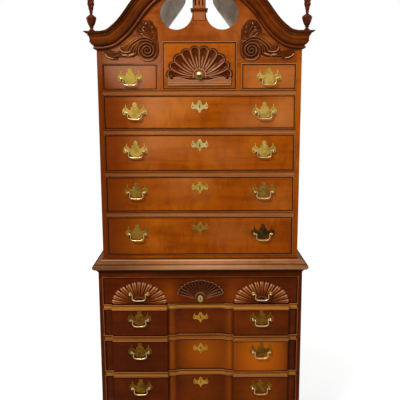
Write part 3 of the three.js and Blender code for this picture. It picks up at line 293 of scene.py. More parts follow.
def lookNamed(name):  # woods are named with their grain's axis, and each is made when it is first asked for
    if name not in looks:
        wood = name[:-1]
        tones = [tone(*seen) for seen in woodTones[wood]]
        looks[name] = woodLook(name, "XYZ".index(name[-1]), tones, **woodFinish.get(wood, {}))
    return looks[name]


brassMarks = {"spots": 260.0, "clouds": 38.0, "highlight": (255, 244, 205), "bump": 0.25, "bumpDepth": 0.0002}


def brassLook(name, bright, wearAndHighlight, patina, rough, metal):  # "glow" is a painted highlight in a cream tone, and "deep" is painted shade that darkens towards the patina
    marks, look = brassMarks, Look(name)
    at = look.where()
    spots = look.noise(at, marks["spots"], 4.0, 0.65)
    cloud = look.noise(at, marks["clouds"], 3.0, 0.55, 0.3)
    deep, glow = look.field("deep"), look.field("glow")
    colour = look.blend(cloud.between(0.38, 0.66), tone(*bright), tone(*wearAndHighlight))
    colour = look.blend(glow.clamped(), colour, tone(*marks["highlight"]))
    patinaAndShade = (spots.between(0.52, 0.74) * 0.5 + deep * 0.85).clamped()
    look.feed("Base Color", look.blend(patinaAndShade, colour, tone(*patina)))
    look.feed("Metallic", metal)
    look.feed("Roughness", (cloud * 0.2 + (rough - 0.1) + spots.between(0.5, 0.75) * 0.2).clamped())
    look.feed("Normal", look.bump(spots * 0.5 + cloud, marks["bump"], marks["bumpDepth"]))
    looks[name] = look.owner


# Copies of one brass, each painted brighter or darker as light and reflections fall on its plates: name,
# bright, worn and patina tones, roughness, metallic
for made in (("brass", (206, 172, 80), (170, 136, 50), (84, 62, 18), 0.48, 0.68),
             ("clearBrass", (186, 158, 60), (154, 124, 36), (92, 70, 20), 0.46, 0.66),
             ("bailBrass", (232, 214, 162), (204, 178, 110), (110, 82, 36), 0.3, 0.9),
             ("agedBrass", (148, 102, 25), (108, 69, 13), (54, 38, 10), 0.36, 0.9),
             ("mellowBrass", (168, 126, 44), (134, 93, 27), (70, 50, 14), 0.44, 0.74),
             ("paleBrass", (222, 198, 128), (190, 160, 84), (100, 74, 28), 0.44, 0.7),
             ("darkBrass", (98, 64, 20), (62, 42, 12), (34, 22, 8), 0.36, 0.9),
             ("goldBrass", (222, 163, 61), (184, 127, 37), (96, 66, 18), 0.34, 0.9)):
    brassLook(*made)
# The keyhole's sleeve is near black: painted shade for the hole
keyholeLook = Look("keyhole")
holeShade = keyholeLook.noise(keyholeLook.where(), 400.0)
keyholeLook.feed("Base Color", keyholeLook.blend(holeShade, tone(16, 11, 8), tone(30, 22, 14)))
keyholeLook.feed("Roughness", 0.8)
looks["keyhole"] = keyholeLook.owner
print("materials made")


# Shapes are pairs of points and faces, closed and facing out
def outward(points, faces):  # turns the faces round where the volume they close comes out negative
    points = np.asarray(points, float)
    faces = [np.asarray(f, int) for f in faces]
    middle = points.mean(axis=0)
    moved = points - middle
    volume = 0.0
    for f in faces:
        for j in range(1, f.shape[1] - 1):
            volume += np.einsum("ij,ij->", moved[f[:, 0]], np.cross(moved[f[:, j]], moved[f[:, j + 1]]))
    return points, faces if volume >= 0 else [f[:, ::-1] for f in faces]


def slab(x0, x1, y0, y1, z0, z1):  # a board between its six faces
    x, y, z = np.meshgrid((x0, x1), (y0, y1), (z0, z1), indexing="ij")
    points = np.stack([x.ravel(), y.ravel(), z.ravel()], axis=1)
    quads = [(0, 1, 3, 2), (4, 6, 7, 5), (0, 4, 5, 1), (2, 3, 7, 6), (0, 2, 6, 4), (1, 5, 7, 3)]
    return points, [np.array(quads)]


def twins(x0, x1, y0, y1, z0, z1):  # the same board at the right and at the left
    return [slab(x0, x1, y0, y1, z0, z1), slab(-x1, -x0, y0, y1, z0, z1)]


def gridFaces(rows, columns, wrapRows=False, wrapColumns=False):  # quads of a grid numbered row by row
    r = np.arange(rows if wrapRows else rows - 1)[:, None]
    c = np.arange(columns if wrapColumns else columns - 1)[None, :]
    r1, c1 = (r + 1) % rows, (c + 1) % columns
    corners = [r * columns + c, r1 * columns + c, r1 * columns + c1, r * columns + c1]
    return np.stack(corners, axis=-1).reshape(-1, 4)


def ringed(rings, closed=False):  # a skin over rings (count, around, 3), capped at both ends unless closed
    rings = np.asarray(rings, float)
    count, around = rings.shape[:2]
    faces = [gridFaces(count, around, closed, True)]
    if not closed:
        faces += [np.arange(around)[None, :], (count * around - 1 - np.arange(around))[None, :]]
    return outward(rings.reshape(-1, 3), faces)


def prism(outline, axis, low, high):  # an outline carried from low to high along an axis
    outline = np.asarray(outline, float)
    others = [i for i in range(3) if i != axis]
    rings = np.zeros((2, len(outline), 3))
    rings[:, :, others] = outline
    rings[0, :, axis], rings[1, :, axis] = low, high
    return ringed(rings)


def mirrored(shape):  # the shape on the other side of the middle plane
    points, faces = shape
    return points * (-1, 1, 1), [f[:, ::-1] for f in faces]


def splined(points, steps=6):  # a uniform Catmull-Rom curve through the points
    p = np.asarray(points, float)
    if len(p) < 3:
        return p
    ends = np.concatenate([[2 * p[0] - p[1]], p, [2 * p[-1] - p[-2]]])
    a, b, c, d = ends[:-3, None], ends[1:-2, None], ends[2:-1, None], ends[3:, None]
    t = (np.arange(steps) / steps)[None, :, None]
    square, cube = 2 * a - 5 * b + 4 * c - d, 3 * b - 3 * c + d - a
    curve = 0.5 * (2 * b + (c - a) * t + square * t ** 2 + cube * t ** 3)
    return np.concatenate([curve.reshape(-1, p.shape[1]), p[-1:]])


def section(*runs, steps=6):  # a moulding's section: each run is smooth, with a corner between runs
    return np.concatenate([splined(run, steps) for run in runs])


def mitres(path, closed):  # unit right-hand normals of a path's points, lengthened at its corners
    path = np.asarray(path, float)
    step = np.roll(path, -1, axis=0) - path
    step /= np.linalg.norm(step, axis=1, keepdims=True) + 1e-12
    after = np.stack([step[:, 1], -step[:, 0]], axis=1)
    before = np.roll(after, 1, axis=0)
    if not closed:
        before[0], after[-1] = after[0], before[-1]
    total = before + after
    return total / (1 + np.einsum("ij,ij->i", before, after))[:, None]


def planSweep(path, outline, closed=False):  # an outline (out, z) carried along a plan path (x, y)
    path, outline = np.asarray(path, float), np.asarray(outline, float)
    at = path[:, None, :] + mitres(path, closed)[:, None, :] * outline[None, :, :1]
    height = np.broadcast_to(outline[None, :, 1:], (len(path), len(outline), 1))
    return ringed(np.concatenate([at, height], axis=2), closed)


def frontSweep(path, outline, closed=False):  # an outline (out, y) carried along a path (x, z) in the front
    path, outline = np.asarray(path, float), np.asarray(outline, float)
    at = path[:, None, :] + mitres(path, closed)[:, None, :] * outline[None, :, :1]
    into = np.broadcast_to(outline[None, :, 1], (len(path), len(outline)))
    return ringed(np.stack([at[:, :, 0], into, at[:, :, 1]], axis=2), closed)


def turned(profile, sides, centre, axis=2, swell=None):  # a profile (radius, along) turned round an axis
    profile = np.asarray(profile, float)
    angle = np.arange(sides) * 2 * math.pi / sides
    radius = profile[:, :1] * np.ones(sides)
    if swell is not None:
        radius = radius * swell(angle[None, :], profile[:, 1:])
    rings = np.zeros((len(profile), sides, 3))
    first, second = (i for i in range(3) if i != axis)
    rings[:, :, first], rings[:, :, second] = radius * np.cos(angle), radius * np.sin(angle)
    rings[:, :, axis] = profile[:, 1:]
    return ringed(rings + np.asarray(centre, float))


def tube(path, radii, sides=10):  # a round bar along a path in the front plane (x, z), y across
    path = np.asarray(path, float)
    ahead = np.gradient(path, axis=0)
    ahead /= np.linalg.norm(ahead, axis=1, keepdims=True)
    side = np.cross(ahead, (0, 1, 0))
    angle = np.arange(sides) * 2 * math.pi / sides
    radii = np.broadcast_to(radii, len(path))[:, None, None]
    rings = path[:, None, :] + radii * (np.cos(angle)[None, :, None] * side[:, None, :]
                                        + np.sin(angle)[None, :, None] * np.array((0.0, 1.0, 0.0)))
    return ringed(rings)


boardNumbers = np.random.default_rng(11)
fieldNames = ("deep", "glow", "shine")


# Parts are (shape, look) or (shape, look, fields). Every part gets its own board number, and fields hold the
# values of "deep", "glow" and "shine" at its points. Millimetres become metres here.
def buildPiece(name, parts, body="case", stands=(), bevel=0.0, sharp=35.0):
    boardNumbers.uniform(0, 9)  # a number that is set aside for the piece, so that the parts' numbers stay
    kinds = list(dict.fromkeys(part[1] for part in parts))
    points, faces, looksOf, offset = [], [], [], 0
    layers = {label: [] for label in ("board", *fieldNames)}
    for (shapePoints, shapeFaces), look, *more in parts:
        count = len(shapePoints)
        points.append(shapePoints)
        layers["board"].append(np.full(count, boardNumbers.uniform(0, 9)))
        for label in fieldNames:
            layers[label].append(np.asarray(more[0].get(label, 0) if more else 0, float) + np.zeros(count))
        for f in shapeFaces:
            faces.append(f + offset)
            looksOf.append(np.full(len(f), kinds.index(look)))
        offset += count
    world = np.concatenate(points) * 0.001 + (0.0, backOfCase - depth * 0.001, 0.0)
    loops = np.concatenate([f.ravel() for f in faces]).astype(np.int32)
    sizes = np.concatenate([np.full(len(f), f.shape[1]) for f in faces])
    starts = np.concatenate([[0], np.cumsum(sizes)[:-1]]).astype(np.int32)
    mesh = bpy.data.meshes.new(name)
    mesh.vertices.add(len(world))
    mesh.vertices.foreach_set("co", world.astype(np.float32).ravel())
    mesh.loops.add(len(loops))
    mesh.loops.foreach_set("vertex_index", loops)
    mesh.polygons.add(len(sizes))
    mesh.polygons.foreach_set("loop_start", starts)
    for look in kinds:
        mesh.materials.append(lookNamed(look))
    mesh.polygons.foreach_set("material_index", np.concatenate(looksOf).astype(np.int32))
    mesh.update(calc_edges=True)
    mesh.validate()
    for label, values in layers.items():
        layer = mesh.attributes.new(label, "FLOAT", "POINT")
        layer.data.foreach_set("value", np.concatenate(values).astype(np.float32))
    mesh.shade_smooth()
    mesh.set_sharp_from_angle(angle=math.radians(sharp))
    piece = bpy.data.objects.new(name, mesh)
    scene.collection.objects.link(piece)
    if bevel:
        edge = piece.modifiers.new("edge", "BEVEL")
        edge.width, edge.segments, edge.limit_method = bevel * 0.001, 2, "ANGLE"
        edge.angle_limit, edge.harden_normals = math.radians(30), True
    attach(piece, body)
    if stands:
        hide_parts(*stands)
    return piece


def ramp(value, low, high):  # 0 at low, 1 at high, and 3t^2 - 2t^3 of the way t between
    t = np.clip((value - low) / (high - low), 0, 1)
    return t * t * (3 - 2 * t)


def hill(value, at, reach):  # 1 at a place, and exp(-((value - at) / reach)^2) about it
    return np.exp(-((value - at) / reach) ** 2)


def dome(away, power=0.5):  # a rounded back: (1 - away^2)^power, and nothing from 1 on
    return np.clip(1 - away ** 2, 0, 1) ** power


def gridRim(columns, rows):  # the outer places of a grid that is numbered column by column, in order round it
    return np.concatenate([np.arange(rows), np.arange(1, columns) * rows + rows - 1,
                           (columns - 1) * rows + np.arange(rows - 2, -1, -1),
                           np.arange(columns - 2, 0, -1) * rows])


def rimSides(rim, behind):  # quads between a rim and the same places behind it
    return np.stack([rim, np.roll(rim, -1), np.roll(behind, -1), behind], axis=1)[:, ::-1]


def stacked(outline, levels):  # a skin over an outline in plan, with a ring at each level
    rings = np.zeros((len(levels), len(outline), 3))
    rings[:, :, :2], rings[:, :, 2] = outline, levels[:, None]
    return ringed(rings)


def softened(values, times):  # each place becomes the mean of its neighbours, times over
    for _ in range(times):
        p = np.pad(values, 1, mode="edge")
        values = (p[:-2, 1:-1] + p[2:, 1:-1] + p[1:-1, :-2] + p[1:-1, 2:] + 2 * values) / 6
    return values


def hollows(height, strength=0.36):  # how far a place lies under its surroundings, for painted shade (deep), or over them, for painted highlight (glow)
    under = softened(height, 22) - height
    return np.clip(under * strength, 0, 1), np.clip(-under * strength * 0.5, 0, 0.6)


# A board whose front is carved: relief gives how far each place stands out of the face, and its fields.
# The grid is close at the edges; edges are eased by 0.5 (1 - border / edge)^2 and have painted shadow beside
# them, in the joint; carved hollows get painted shade and ridges painted highlight.
def carvedBoard(x0, x1, z0, z1, face, rear, relief, pitch, edge=0.7, cavityShade=0.36):
    plain = pitch > 3

    def marks(low, high):  # places along one side: a few close to both edges and even ones between
        near = np.array([0, edge * 0.35, edge] + ([edge + 1.4, edge + 2.8, edge + 4.6] if plain else []))
        inset = near[-1] + min(pitch, 4)
        inner = np.linspace(low + inset, high - inset, max(2, int(round((high - low) / pitch))))
        return np.concatenate([low + near, inner, high - near[::-1]])

    x, z = np.meshgrid(marks(x0, x1), marks(z0, z1), indexing="ij")
    height, fields = relief(x, z)
    border = np.minimum(np.minimum(x - x0, x1 - x), np.minimum(z - z0, z1 - z))
    height = height - 0.5 * np.clip(1 - border / edge, 0, 1) ** 2
    deep, wearAndHighlight = (0.0, 0.0) if plain else hollows(height, cavityShade)
    deep = np.maximum(deep + fields.get("deep", 0), jointShadow(border))
    fields = {"deep": deep, "glow": fields.get("glow", 0) + wearAndHighlight, "shine": fields.get("shine", 0) + 0 * x}
    columns, rows = x.shape
    front = np.stack([x, face - height, z], axis=2).reshape(-1, 3)
    rim = gridRim(columns, rows)
    behind = front[rim].copy()
    behind[:, 1] = rear
    backRing = len(front) + np.arange(len(rim))
    shape = outward(np.concatenate([front, behind]),
                    [gridFaces(columns, rows), rimSides(rim, backRing), backRing[None, :]])
    pad = np.zeros(len(rim))
    return shape, {label: np.concatenate([values.ravel(), pad]) for label, values in fields.items()}


def jointShadow(border):  # painted shadow in the joint round a front: exp(-(border / 3.6)^4)
    return np.exp(-(border / 3.6) ** 4)


# A bead's section from x on: a half circle's places across and how far out they stand, with feet behind
def halfRound(x=0.0, side=1):
    turn = np.linspace(0, math.pi, 9)
    across = x + side * bead["width"] / 2 * (1 - np.cos(turn))
    out = (bead["sunk"] + bead["proud"]) * np.sin(turn) - bead["sunk"]
    return np.stack([[x, *across, x + side * bead["width"]], [-bead["depth"], *out, -bead["depth"]]], axis=1)


def beadFields(share):  # a bead has a painted highlight along its crown and painted shade at its foot
    share = np.clip(share, 0, 1)
    return {"glow": 0.75 * share ** 2 - 0.3, "shine": 0.34 * share ** 3, "deep": 0.85 * (1 - share) ** 2}


def crownShare(places, low, side=1):  # how near places across a bead are to its crown
    return dome((places - low) * side / bead["width"] * 2 - 1)


def beadAround(x0, x1, z0, z1):  # cock bead round an opening, mitred at its corners
    path = [(x0, z0), (x1, z0), (x1, z1), (x0, z1)]
    shape = frontSweep(path, halfRound() * (1, -1), closed=True)
    x, y, z = shape[0].T
    fields = beadFields((bead["sunk"] - y) / (bead["sunk"] + bead["proud"]))
    # painted highlight and shade: most along the top run, less on the uprights, and none at the case's left
    # edge, where the bead is painted dark
    bright = np.where(z > z1 - 1, 0.8, 0.3 if x1 - x0 > 400 else 0.6) * (x > -upperOpening + 2)
    fields["shine"], fields["glow"] = fields["shine"] * bright, (fields["glow"] + 0.3) * bright - 0.3
    return shape, "beadX", fields


# A rail with painted light that changes evenly from foot to top, and painted shadow under its upper bead
def graded(outline, z0, z1, look, low, high):
    shape = stacked(outline, z0 + (z1 - z0) * np.array([0, 0.2, 0.4, 0.6, 0.74, 0.84, 0.92, 1.0]))
    share = (shape[0][:, 2] - z0) / (z1 - z0)
    dark = 0.75 * hill((1 - share) * (z1 - z0), 0, 3.0)
    return shape, look, {"glow": low + (high - low) * share, "deep": dark}


def rectangle(half, y0, y1):  # an outline in plan, as wide on both sides of the middle
    return np.array([(-half, y0), (half, y0), (half, y1), (-half, y1)], float)


class Boards(list):  # the parts of a piece that is made of boards
    def board(self, look, *sizes):  # x0, x1, y0, y1, z0, z1
        self.append((slab(*sizes), look))

    def pair(self, look, *sizes):  # one at the right and one at the left
        self.extend((shape, look) for shape in twins(*sizes))


# Upper carcass: sides, stiles, rails with a face strip between quirks, partitions, beads, dust boards
def upperCarcass():
    parts = Boards()
    board, pair = parts.board, parts.pair
    foot, mid, inner = lowerTop + case["seam"], upperHalf - case["side"] / 2, upperInner - case["runner"]
    rail, sunk, edge = case["railDepth"], bead["quirkDepth"], bead["width"] + bead["quirk"]
    near, rear, thick = case["stileDepth"], backFace - case["seam"], case["board"]
    strip, reach, top = sunk + bead["lap"], upperOpening - 0.1, corniceFoot - 0.5
    floor, beadTop = upperRows[0][0], smallTop + bead["width"]
    pair("cherryZ", upperInner + 0.2, upperHalf, near, depth, foot, corniceTop)
    pair("cherryZ", upperOpening, upperHalf, sunk, near - 0.2, foot, top)
    pair("cherryZ", upperOpening + edge, upperHalf, 0, strip, foot, top)
    board("cherryX", -reach, reach, sunk, near, foot, floor)
    board("cherryX", -upperOpening - edge, upperOpening + edge, 0, strip, foot, floor - edge)
    board("poplarX", -mid, mid, near, rear, floor - thick, floor)
    board("poplarX", -mid, mid, 22, rear, subTop, subTop + thick)
    for (low, high), after in zip(upperRows, [row[0] for row in upperRows[1:]] + [topFoot]):
        board("cherryX", -reach, reach, sunk, rail, high, after)
        face = rectangle(upperOpening + edge, 0, strip)
        parts.append(graded(face, high + edge, after - edge, "railX", 0.42, 0.12))
        pair("poplarY", inner, upperInner, rail + 0.5, rear, after - thick, after)
        parts.append(beadAround(-upperOpening, upperOpening, low, high))
    board("poplarX", -inner, inner, rail + 0.5, rear, topFoot - thick, topFoot)
    for side in (-1, 1):
        x0, x1 = sorted((side * centreHalf, side * partitionOuter))
        board("cherryZ", x0, x1, sunk, 20, topFoot, beadTop)
        board("cherryZ", x0 + edge, x1 - edge, 0, strip, topFoot - edge, beadTop)
        board("poplarY", x0, x1, 20.5, rear, topFoot, subTop)
        over = sorted((side * (partitionOuter - bead["width"]), side * mid))
        board("cherryX", *over, sunk, near, smallTop, beadTop)
        runner = sorted((side * inner, side * upperInner))
        board("poplarY", *runner, near, rear, smallTop, smallTop + thick)
        parts.append(beadAround(*sorted((side * partitionOuter, side * upperOpening)), topFoot, smallTop))
    parts.append(beadAround(-centreHalf, centreHalf, topFoot, centreTop))
    buildPiece("upper_carcass_boards", parts, stands=["upper_carcass"], bevel=0.35)


# Plan of the lower case's face, from -x to +x, forward by an amount; its blocks have rounded edges
def blockLine(reach, forward, steps=6):
    y, proud, r = lowerFace - forward, case["blockProud"], case["blockRound"]
    along = np.linspace(0, 1, steps + 1)
    cove = np.stack([case["recessHalf"] - case["recessCurve"] * (1 - along),
                     y + case["recessDepth"] * np.cos(math.pi / 2 * along ** 1.2)], axis=1)
    turn = np.linspace(0, math.pi / 2, steps)
    up, over = r * (1 - np.sin(turn)), r * (1 - np.cos(turn))
    inner = np.stack([case["blockInner"] + over, y - proud + up], axis=1)
    outer = np.stack([blockOuter - up, y - proud + over], axis=1)
    half = np.concatenate([cove, [(case["blockInner"], y)], inner, outer, [(blockOuter, y), (reach, y)]])
    return np.concatenate([half[::-1] * (-1, 1), half])


def blockedOutline(reach, forward, rear):  # the face's line closed at the rear
    return np.concatenate([blockLine(reach, forward), [(reach, rear), (-reach, rear)]])


def blockedBead(z0):  # half-round bead that follows the blocks
    shape = planSweep(blockLine(lowerOpening + bead["width"], 0), halfRound(z0)[:, ::-1])
    return shape, "lowRailX", beadFields(crownShare(shape[0][:, 2], z0))


def uprightBead(x, z0, z1, side):  # half-round bead at the side of a lower drawer, a half circle in plan
    shape = prism(halfRound(x, side) * (1, -1) + (0, lowerFace), 2, z0, z1)
    fields = beadFields(crownShare(shape[0][:, 0], x, side))
    fields["shine"] = fields["shine"] * 0.6
    return shape, "darkZ", fields


def lowerCarcass():  # sides, stiles, blocked rails with a face strip, beads, dust boards
    parts = Boards()
    board, pair = parts.board, parts.pair
    foot, near, railBack = case["foot"], lowerFace + case["stileDepth"], lowerFace + case["railDepth"]
    rear, thick, mid = backFace - case["seam"], case["board"], lowerHalf - case["lowerStile"] / 2
    sunk, edge = bead["quirkDepth"], bead["width"] + bead["quirk"]
    ground, strip = lowerFace + sunk, lowerFace + sunk + bead["lap"]
    floor, top, width, inner = lowerRows[0][0], shellRow[1], bead["width"], lowerOpening - case["runner"]

    def blocked(look, forward, back, z0, z1):  # a board whose front follows the blocks
        parts.append((prism(blockedOutline(lowerOpening, forward, back), 2, z0, z1), look))

    pair("darkZ", lowerOpening + 0.2, lowerHalf, near, depth, foot, lowerTop)
    pair("darkZ", lowerOpening, lowerHalf, ground, near - 0.2, foot, lowerTop)
    pair("darkZ", lowerOpening + edge, lowerHalf, lowerFace, strip, foot, lowerTop)
    blocked("darkX", -sunk, railBack, foot, floor)
    blocked("darkX", 0, near, foot, floor - edge)
    board("poplarX", -mid, mid, railBack, rear, floor - thick, floor)
    board("poplarX", -mid, mid, railBack, rear, lowerTop - thick, lowerTop)
    board("darkX", -lowerOpening, lowerOpening, ground, railBack, top, lowerTop)
    board("darkX", -lowerOpening - edge, lowerOpening + edge, lowerFace, strip, top + edge, lowerTop)
    glows = [(0.85, 0.0), (0.5, -0.2), (1.0, 0.5)]  # painted light at the foot and the top of each rail
    for i, (low, high) in enumerate(lowerRows):
        parts.append(blockedBead(low - width))
        if i < len(glows):
            after = lowerRows[i + 1][0]
            blocked("darkX", -sunk, railBack, high, after)
            outline = blockedOutline(lowerOpening, 0, near)
            parts.append(graded(outline, high + edge, after - edge, "lowRailX", *glows[i]))
            pair("poplarY", inner, lowerOpening, railBack + 0.5, rear, after - thick, after)
            parts.append(blockedBead(high))
        for side in (-1, 1):
            parts.append(uprightBead(side * lowerOpening, low - width, high + width, side))
    crown = np.array([(-4, 0), (0, 0), (1.3, 0.7), (2, 2.25), (1.3, 3.8), (0, 4.5), (-4, 4.5)]) + (0, top)
    path = [(-lowerOpening - width, lowerFace), (lowerOpening + width, lowerFace)]
    parts.append((planSweep(path, crown), "lowRailX"))
    buildPiece("lower_carcass_boards", parts, stands=["lower_carcass"], bevel=0.35)


def backBoards(name, half, z0, z1, stands, count=6, gap=0.4):  # upright boards with a small gap between
    edges, parts = np.linspace(-half, half, count + 1), Boards()
    for a, b in zip(edges, edges[1:]):
        parts.board("poplarZ", a + gap, b - gap, backFace, depth - gap, z0, z1)
    buildPiece(name, parts, stands=[stands], bevel=0.8)


upperCarcass()
lowerCarcass()
backBoards("upper_back_boards", upperInner - 0.3, lowerTop + 0.3, subTop + case["board"], "upper_back_panel")
backBoards("lower_back_boards", lowerOpening - 0.3, case["foot"], lowerTop, "lower_back_panel")
print("carcasses made")

# Waist and base mouldings, their sections drawn in shares of projection and height
waist = {"projection": 25, "glareX": 30, "glareReach": 230, "shares": [
    [(0, 0), (0.02, 0.04)], [(0.12, 0.05), (0.2, 0.12), (0.4, 0.19), (0.66, 0.22)],
    [(0.74, 0.235), (0.74, 0.27)],
    [(0.8, 0.28), (0.95, 0.32), (1, 0.42), (0.97, 0.53), (0.84, 0.6)], [(0.76, 0.61), (0.76, 0.65)],
    [(0.6, 0.66), (0.1, 0.7), (-0.3, 0.78), (-0.55, 0.9)], [(-0.62, 0.93), (-0.66, 0.97), (-0.8, 1)]]}
# Painted light and shade on the waist, brighter above zero and darker below, by share of its height
waistGlow = ([0, 0.18, 0.24, 0.3, 0.42, 0.52, 0.6, 0.66, 0.72, 0.84, 0.9, 0.95, 1.0],
             [-0.8, -0.8, -0.15, 0.4, 0.25, 0.1, 0.05, -0.25, -0.15, 0.0, -0.1, -0.7, -1.0])
base = {"projection": 16, "shares": [
    [(0, 0), (1, 0)], [(1, 0), (1, 0.34)], [(0.93, 0.36), (0.9, 0.4)],
    [(0.86, 0.42), (0.7, 0.5), (0.5, 0.66), (0.34, 0.8)], [(0.24, 0.83), (0.24, 0.88)],
    [(0.18, 0.9), (0.08, 0.94), (0, 1)]]}


def shared(moulding, rise, start):  # a moulding's section brought from shares to its size and place
    return section(*(np.array(run) * (moulding["projection"], rise) + start for run in moulding["shares"]))


def roundCase(line):  # a line along the lower case's face, carried back along both sides
    return np.concatenate([[(-lowerHalf, depth)], line, [(lowerHalf, depth)]])


def waistMoulding():  # its painted light and shade are sums of hills up its height: glow, shine as painted highlight, dark as painted shade, and a painted glare about glareX
    foot, inside = lowerTop + case["seam"], lowerFace + case["seam"]
    rise = case["waist"] - case["seam"]
    outline = np.concatenate([[(inside, foot)], shared(waist, rise, (0, foot)), [(inside, upperFoot)]])
    across = np.linspace(-lowerHalf, lowerHalf, 25)
    shape = planSweep(roundCase(np.stack([across, 0 * across + lowerFace], axis=1)), outline)
    up = (shape[0][:, 2] - lowerTop) / rise
    glare = hill(shape[0][:, 0], waist["glareX"], waist["glareReach"])
    lit = [(0.3 + 0.9 * glare, 0.865, 0.034), (0.3 + 0.3 * glare, 0.32, 0.03), (0.14, 0.72, 0.05)]
    dark = [(0.6, 0.975, 0.03), (0.65, 0.645, 0.026), (0.35, 0.79, 0.022)]
    fields = {"glow": np.interp(up, *waistGlow) + glare * 0.45 * ramp(up, 0.22, 0.34) * ramp(up, 0.95, 0.8),
              "shine": sum(share * hill(up, at, reach) for share, at, reach in lit),
              "deep": sum(share * hill(up, at, reach) for share, at, reach in dark)
              + 0.75 * ramp(up, 0.27, 0.14)}
    buildPiece("waist_run", [(shape, "waistX", fields)], stands=["waist_moulding"])


def baseMoulding():  # it follows the blocks with square corners
    y, proud, inner = lowerFace, case["blockProud"], case["blockInner"]
    cove = [(case["recessHalf"] - case["recessCurve"], y + case["recessDepth"]), (case["recessHalf"], y)]
    half = np.array([*cove, (inner, y), (inner, y - proud), (blockOuter, y - proud), (blockOuter, y),
                     (lowerHalf, y)])
    path = roundCase(np.concatenate([half[::-1] * (-1, 1), half]))
    shape = planSweep(path, shared(base, case["base"], (case["seam"], case["foot"])))
    buildPiece("base_run", [(shape, "mouldingX")], stands=["base_moulding"])


waistMoulding()
baseMoulding()
print("mouldings made")

# Feet: an ogee wall whose lower edge follows the bracket's scroll
foot = {"spread": 165, "wall": 22, "swell": 18, "columns": 40, "rows": 22, "braceWidth": 100,
        "ogee": [(0.78, 1.0), (0.99, 0.9), (1.0, 0.78), (0.84, 0.65), (0.44, 0.49), (0.17, 0.34), (0.16, 0.2),
                 (0.42, 0.09), (0.62, 0.02), (0.64, 0.0)],
        "scroll": [(0.0, 0.0), (0.3, 0.0), (0.55, 0.0), (0.575, 0.03), (0.55, 0.09), (0.545, 0.17),
                   (0.58, 0.29), (0.64, 0.37), (0.71, 0.41), (0.76, 0.47), (0.775, 0.55), (0.82, 0.61),
                   (0.9, 0.645), (0.96, 0.7), (1.0, 0.78)]}


# A wall from the corner along a direction: columns run from the bracket's scroll up to the foot's top, and
# the mitre leans out with the ogee at the corner
def bracketWall(corner, along, out, stepAt=None, mitred=True):
    columns, rows, wall = foot["columns"], foot["rows"], foot["wall"]
    scroll = np.clip(splined(foot["scroll"], 5), 0, 1)
    span = np.concatenate([[0], np.cumsum(np.linalg.norm(np.diff(scroll, axis=0), axis=1))])
    low = np.stack([np.interp(np.linspace(0, span[-1], columns), span, scroll[:, k]) for k in (0, 1)], axis=1)
    top = np.stack([np.linspace(0, 1, columns), np.full(columns, 1.0)], axis=1)
    share = np.linspace(0, 1, rows)[None, :, None]
    flat = low[:, None, :] * (1 - share) + top[:, None, :] * share
    ogee = splined(foot["ogee"][::-1], 6)
    swell = np.interp(flat[:, :, 1], ogee[:, 1], ogee[:, 0]) * foot["swell"]
    distance = flat[:, :, 0] * foot["spread"]
    lean = (1 - flat[:, :, 0]) ** 6 if mitred else 0 * distance
    outer, inner = distance - swell * lean, np.maximum(distance, wall * lean)
    proud = 0.0 if stepAt is None else case["blockProud"] * (outer > stepAt)
    along, out = np.asarray(along, float), np.asarray(out, float)
    sides = np.zeros((2, columns, rows, 3))
    sides[0, :, :, :2] = np.asarray(corner) + outer[:, :, None] * along + (swell + proud)[:, :, None] * out
    sides[1, :, :, :2] = np.asarray(corner) + inner[:, :, None] * along - wall * out
    sides[:, :, :, 2] = flat[:, :, 1] * (case["foot"] - case["seam"])
    grid, rim, count = gridFaces(columns, rows), gridRim(columns, rows), columns * rows
    return outward(sides.reshape(-1, 3), [grid, grid[:, ::-1] + count, rimSides(rim, rim + count)])


def feet():  # two walls to each front foot, a wall and a brace to each rear one
    front = bracketWall((lowerHalf, lowerFace), (-1, 0), (0, -1), stepAt=lowerHalf - blockOuter)
    side = bracketWall((lowerHalf, lowerFace), (0, 1), (1, 0))
    rearSide = bracketWall((lowerHalf, depth), (0, -1), (1, 0), mitred=False)
    inner, width, top = lowerHalf - foot["wall"], foot["braceWidth"], case["foot"]
    outline = [(inner - width, top - 0.3), (inner - width, top * 0.72), (inner - width * 0.6, top * 0.6),
               (inner - width / 4, 0), (inner - 0.5, 0), (inner - 0.5, top - 0.3)]
    brace = prism(outline, 1, depth - foot["wall"], depth)
    for sign, name in ((1, "right"), (-1, "left")):
        for end, walls in (("front", [(front, "mouldingX"), (side, "mouldingY")]),
                           ("rear", [(rearSide, "mouldingY"), (brace, "poplarX")])):
            parts = [(w if sign > 0 else mirrored(w), look) for w, look in walls]
            buildPiece(f"{end}_{name}_foot_brackets", parts,
                       stands=[f"{end}_{name}_foot"], sharp=50)


feet()
print("feet made")

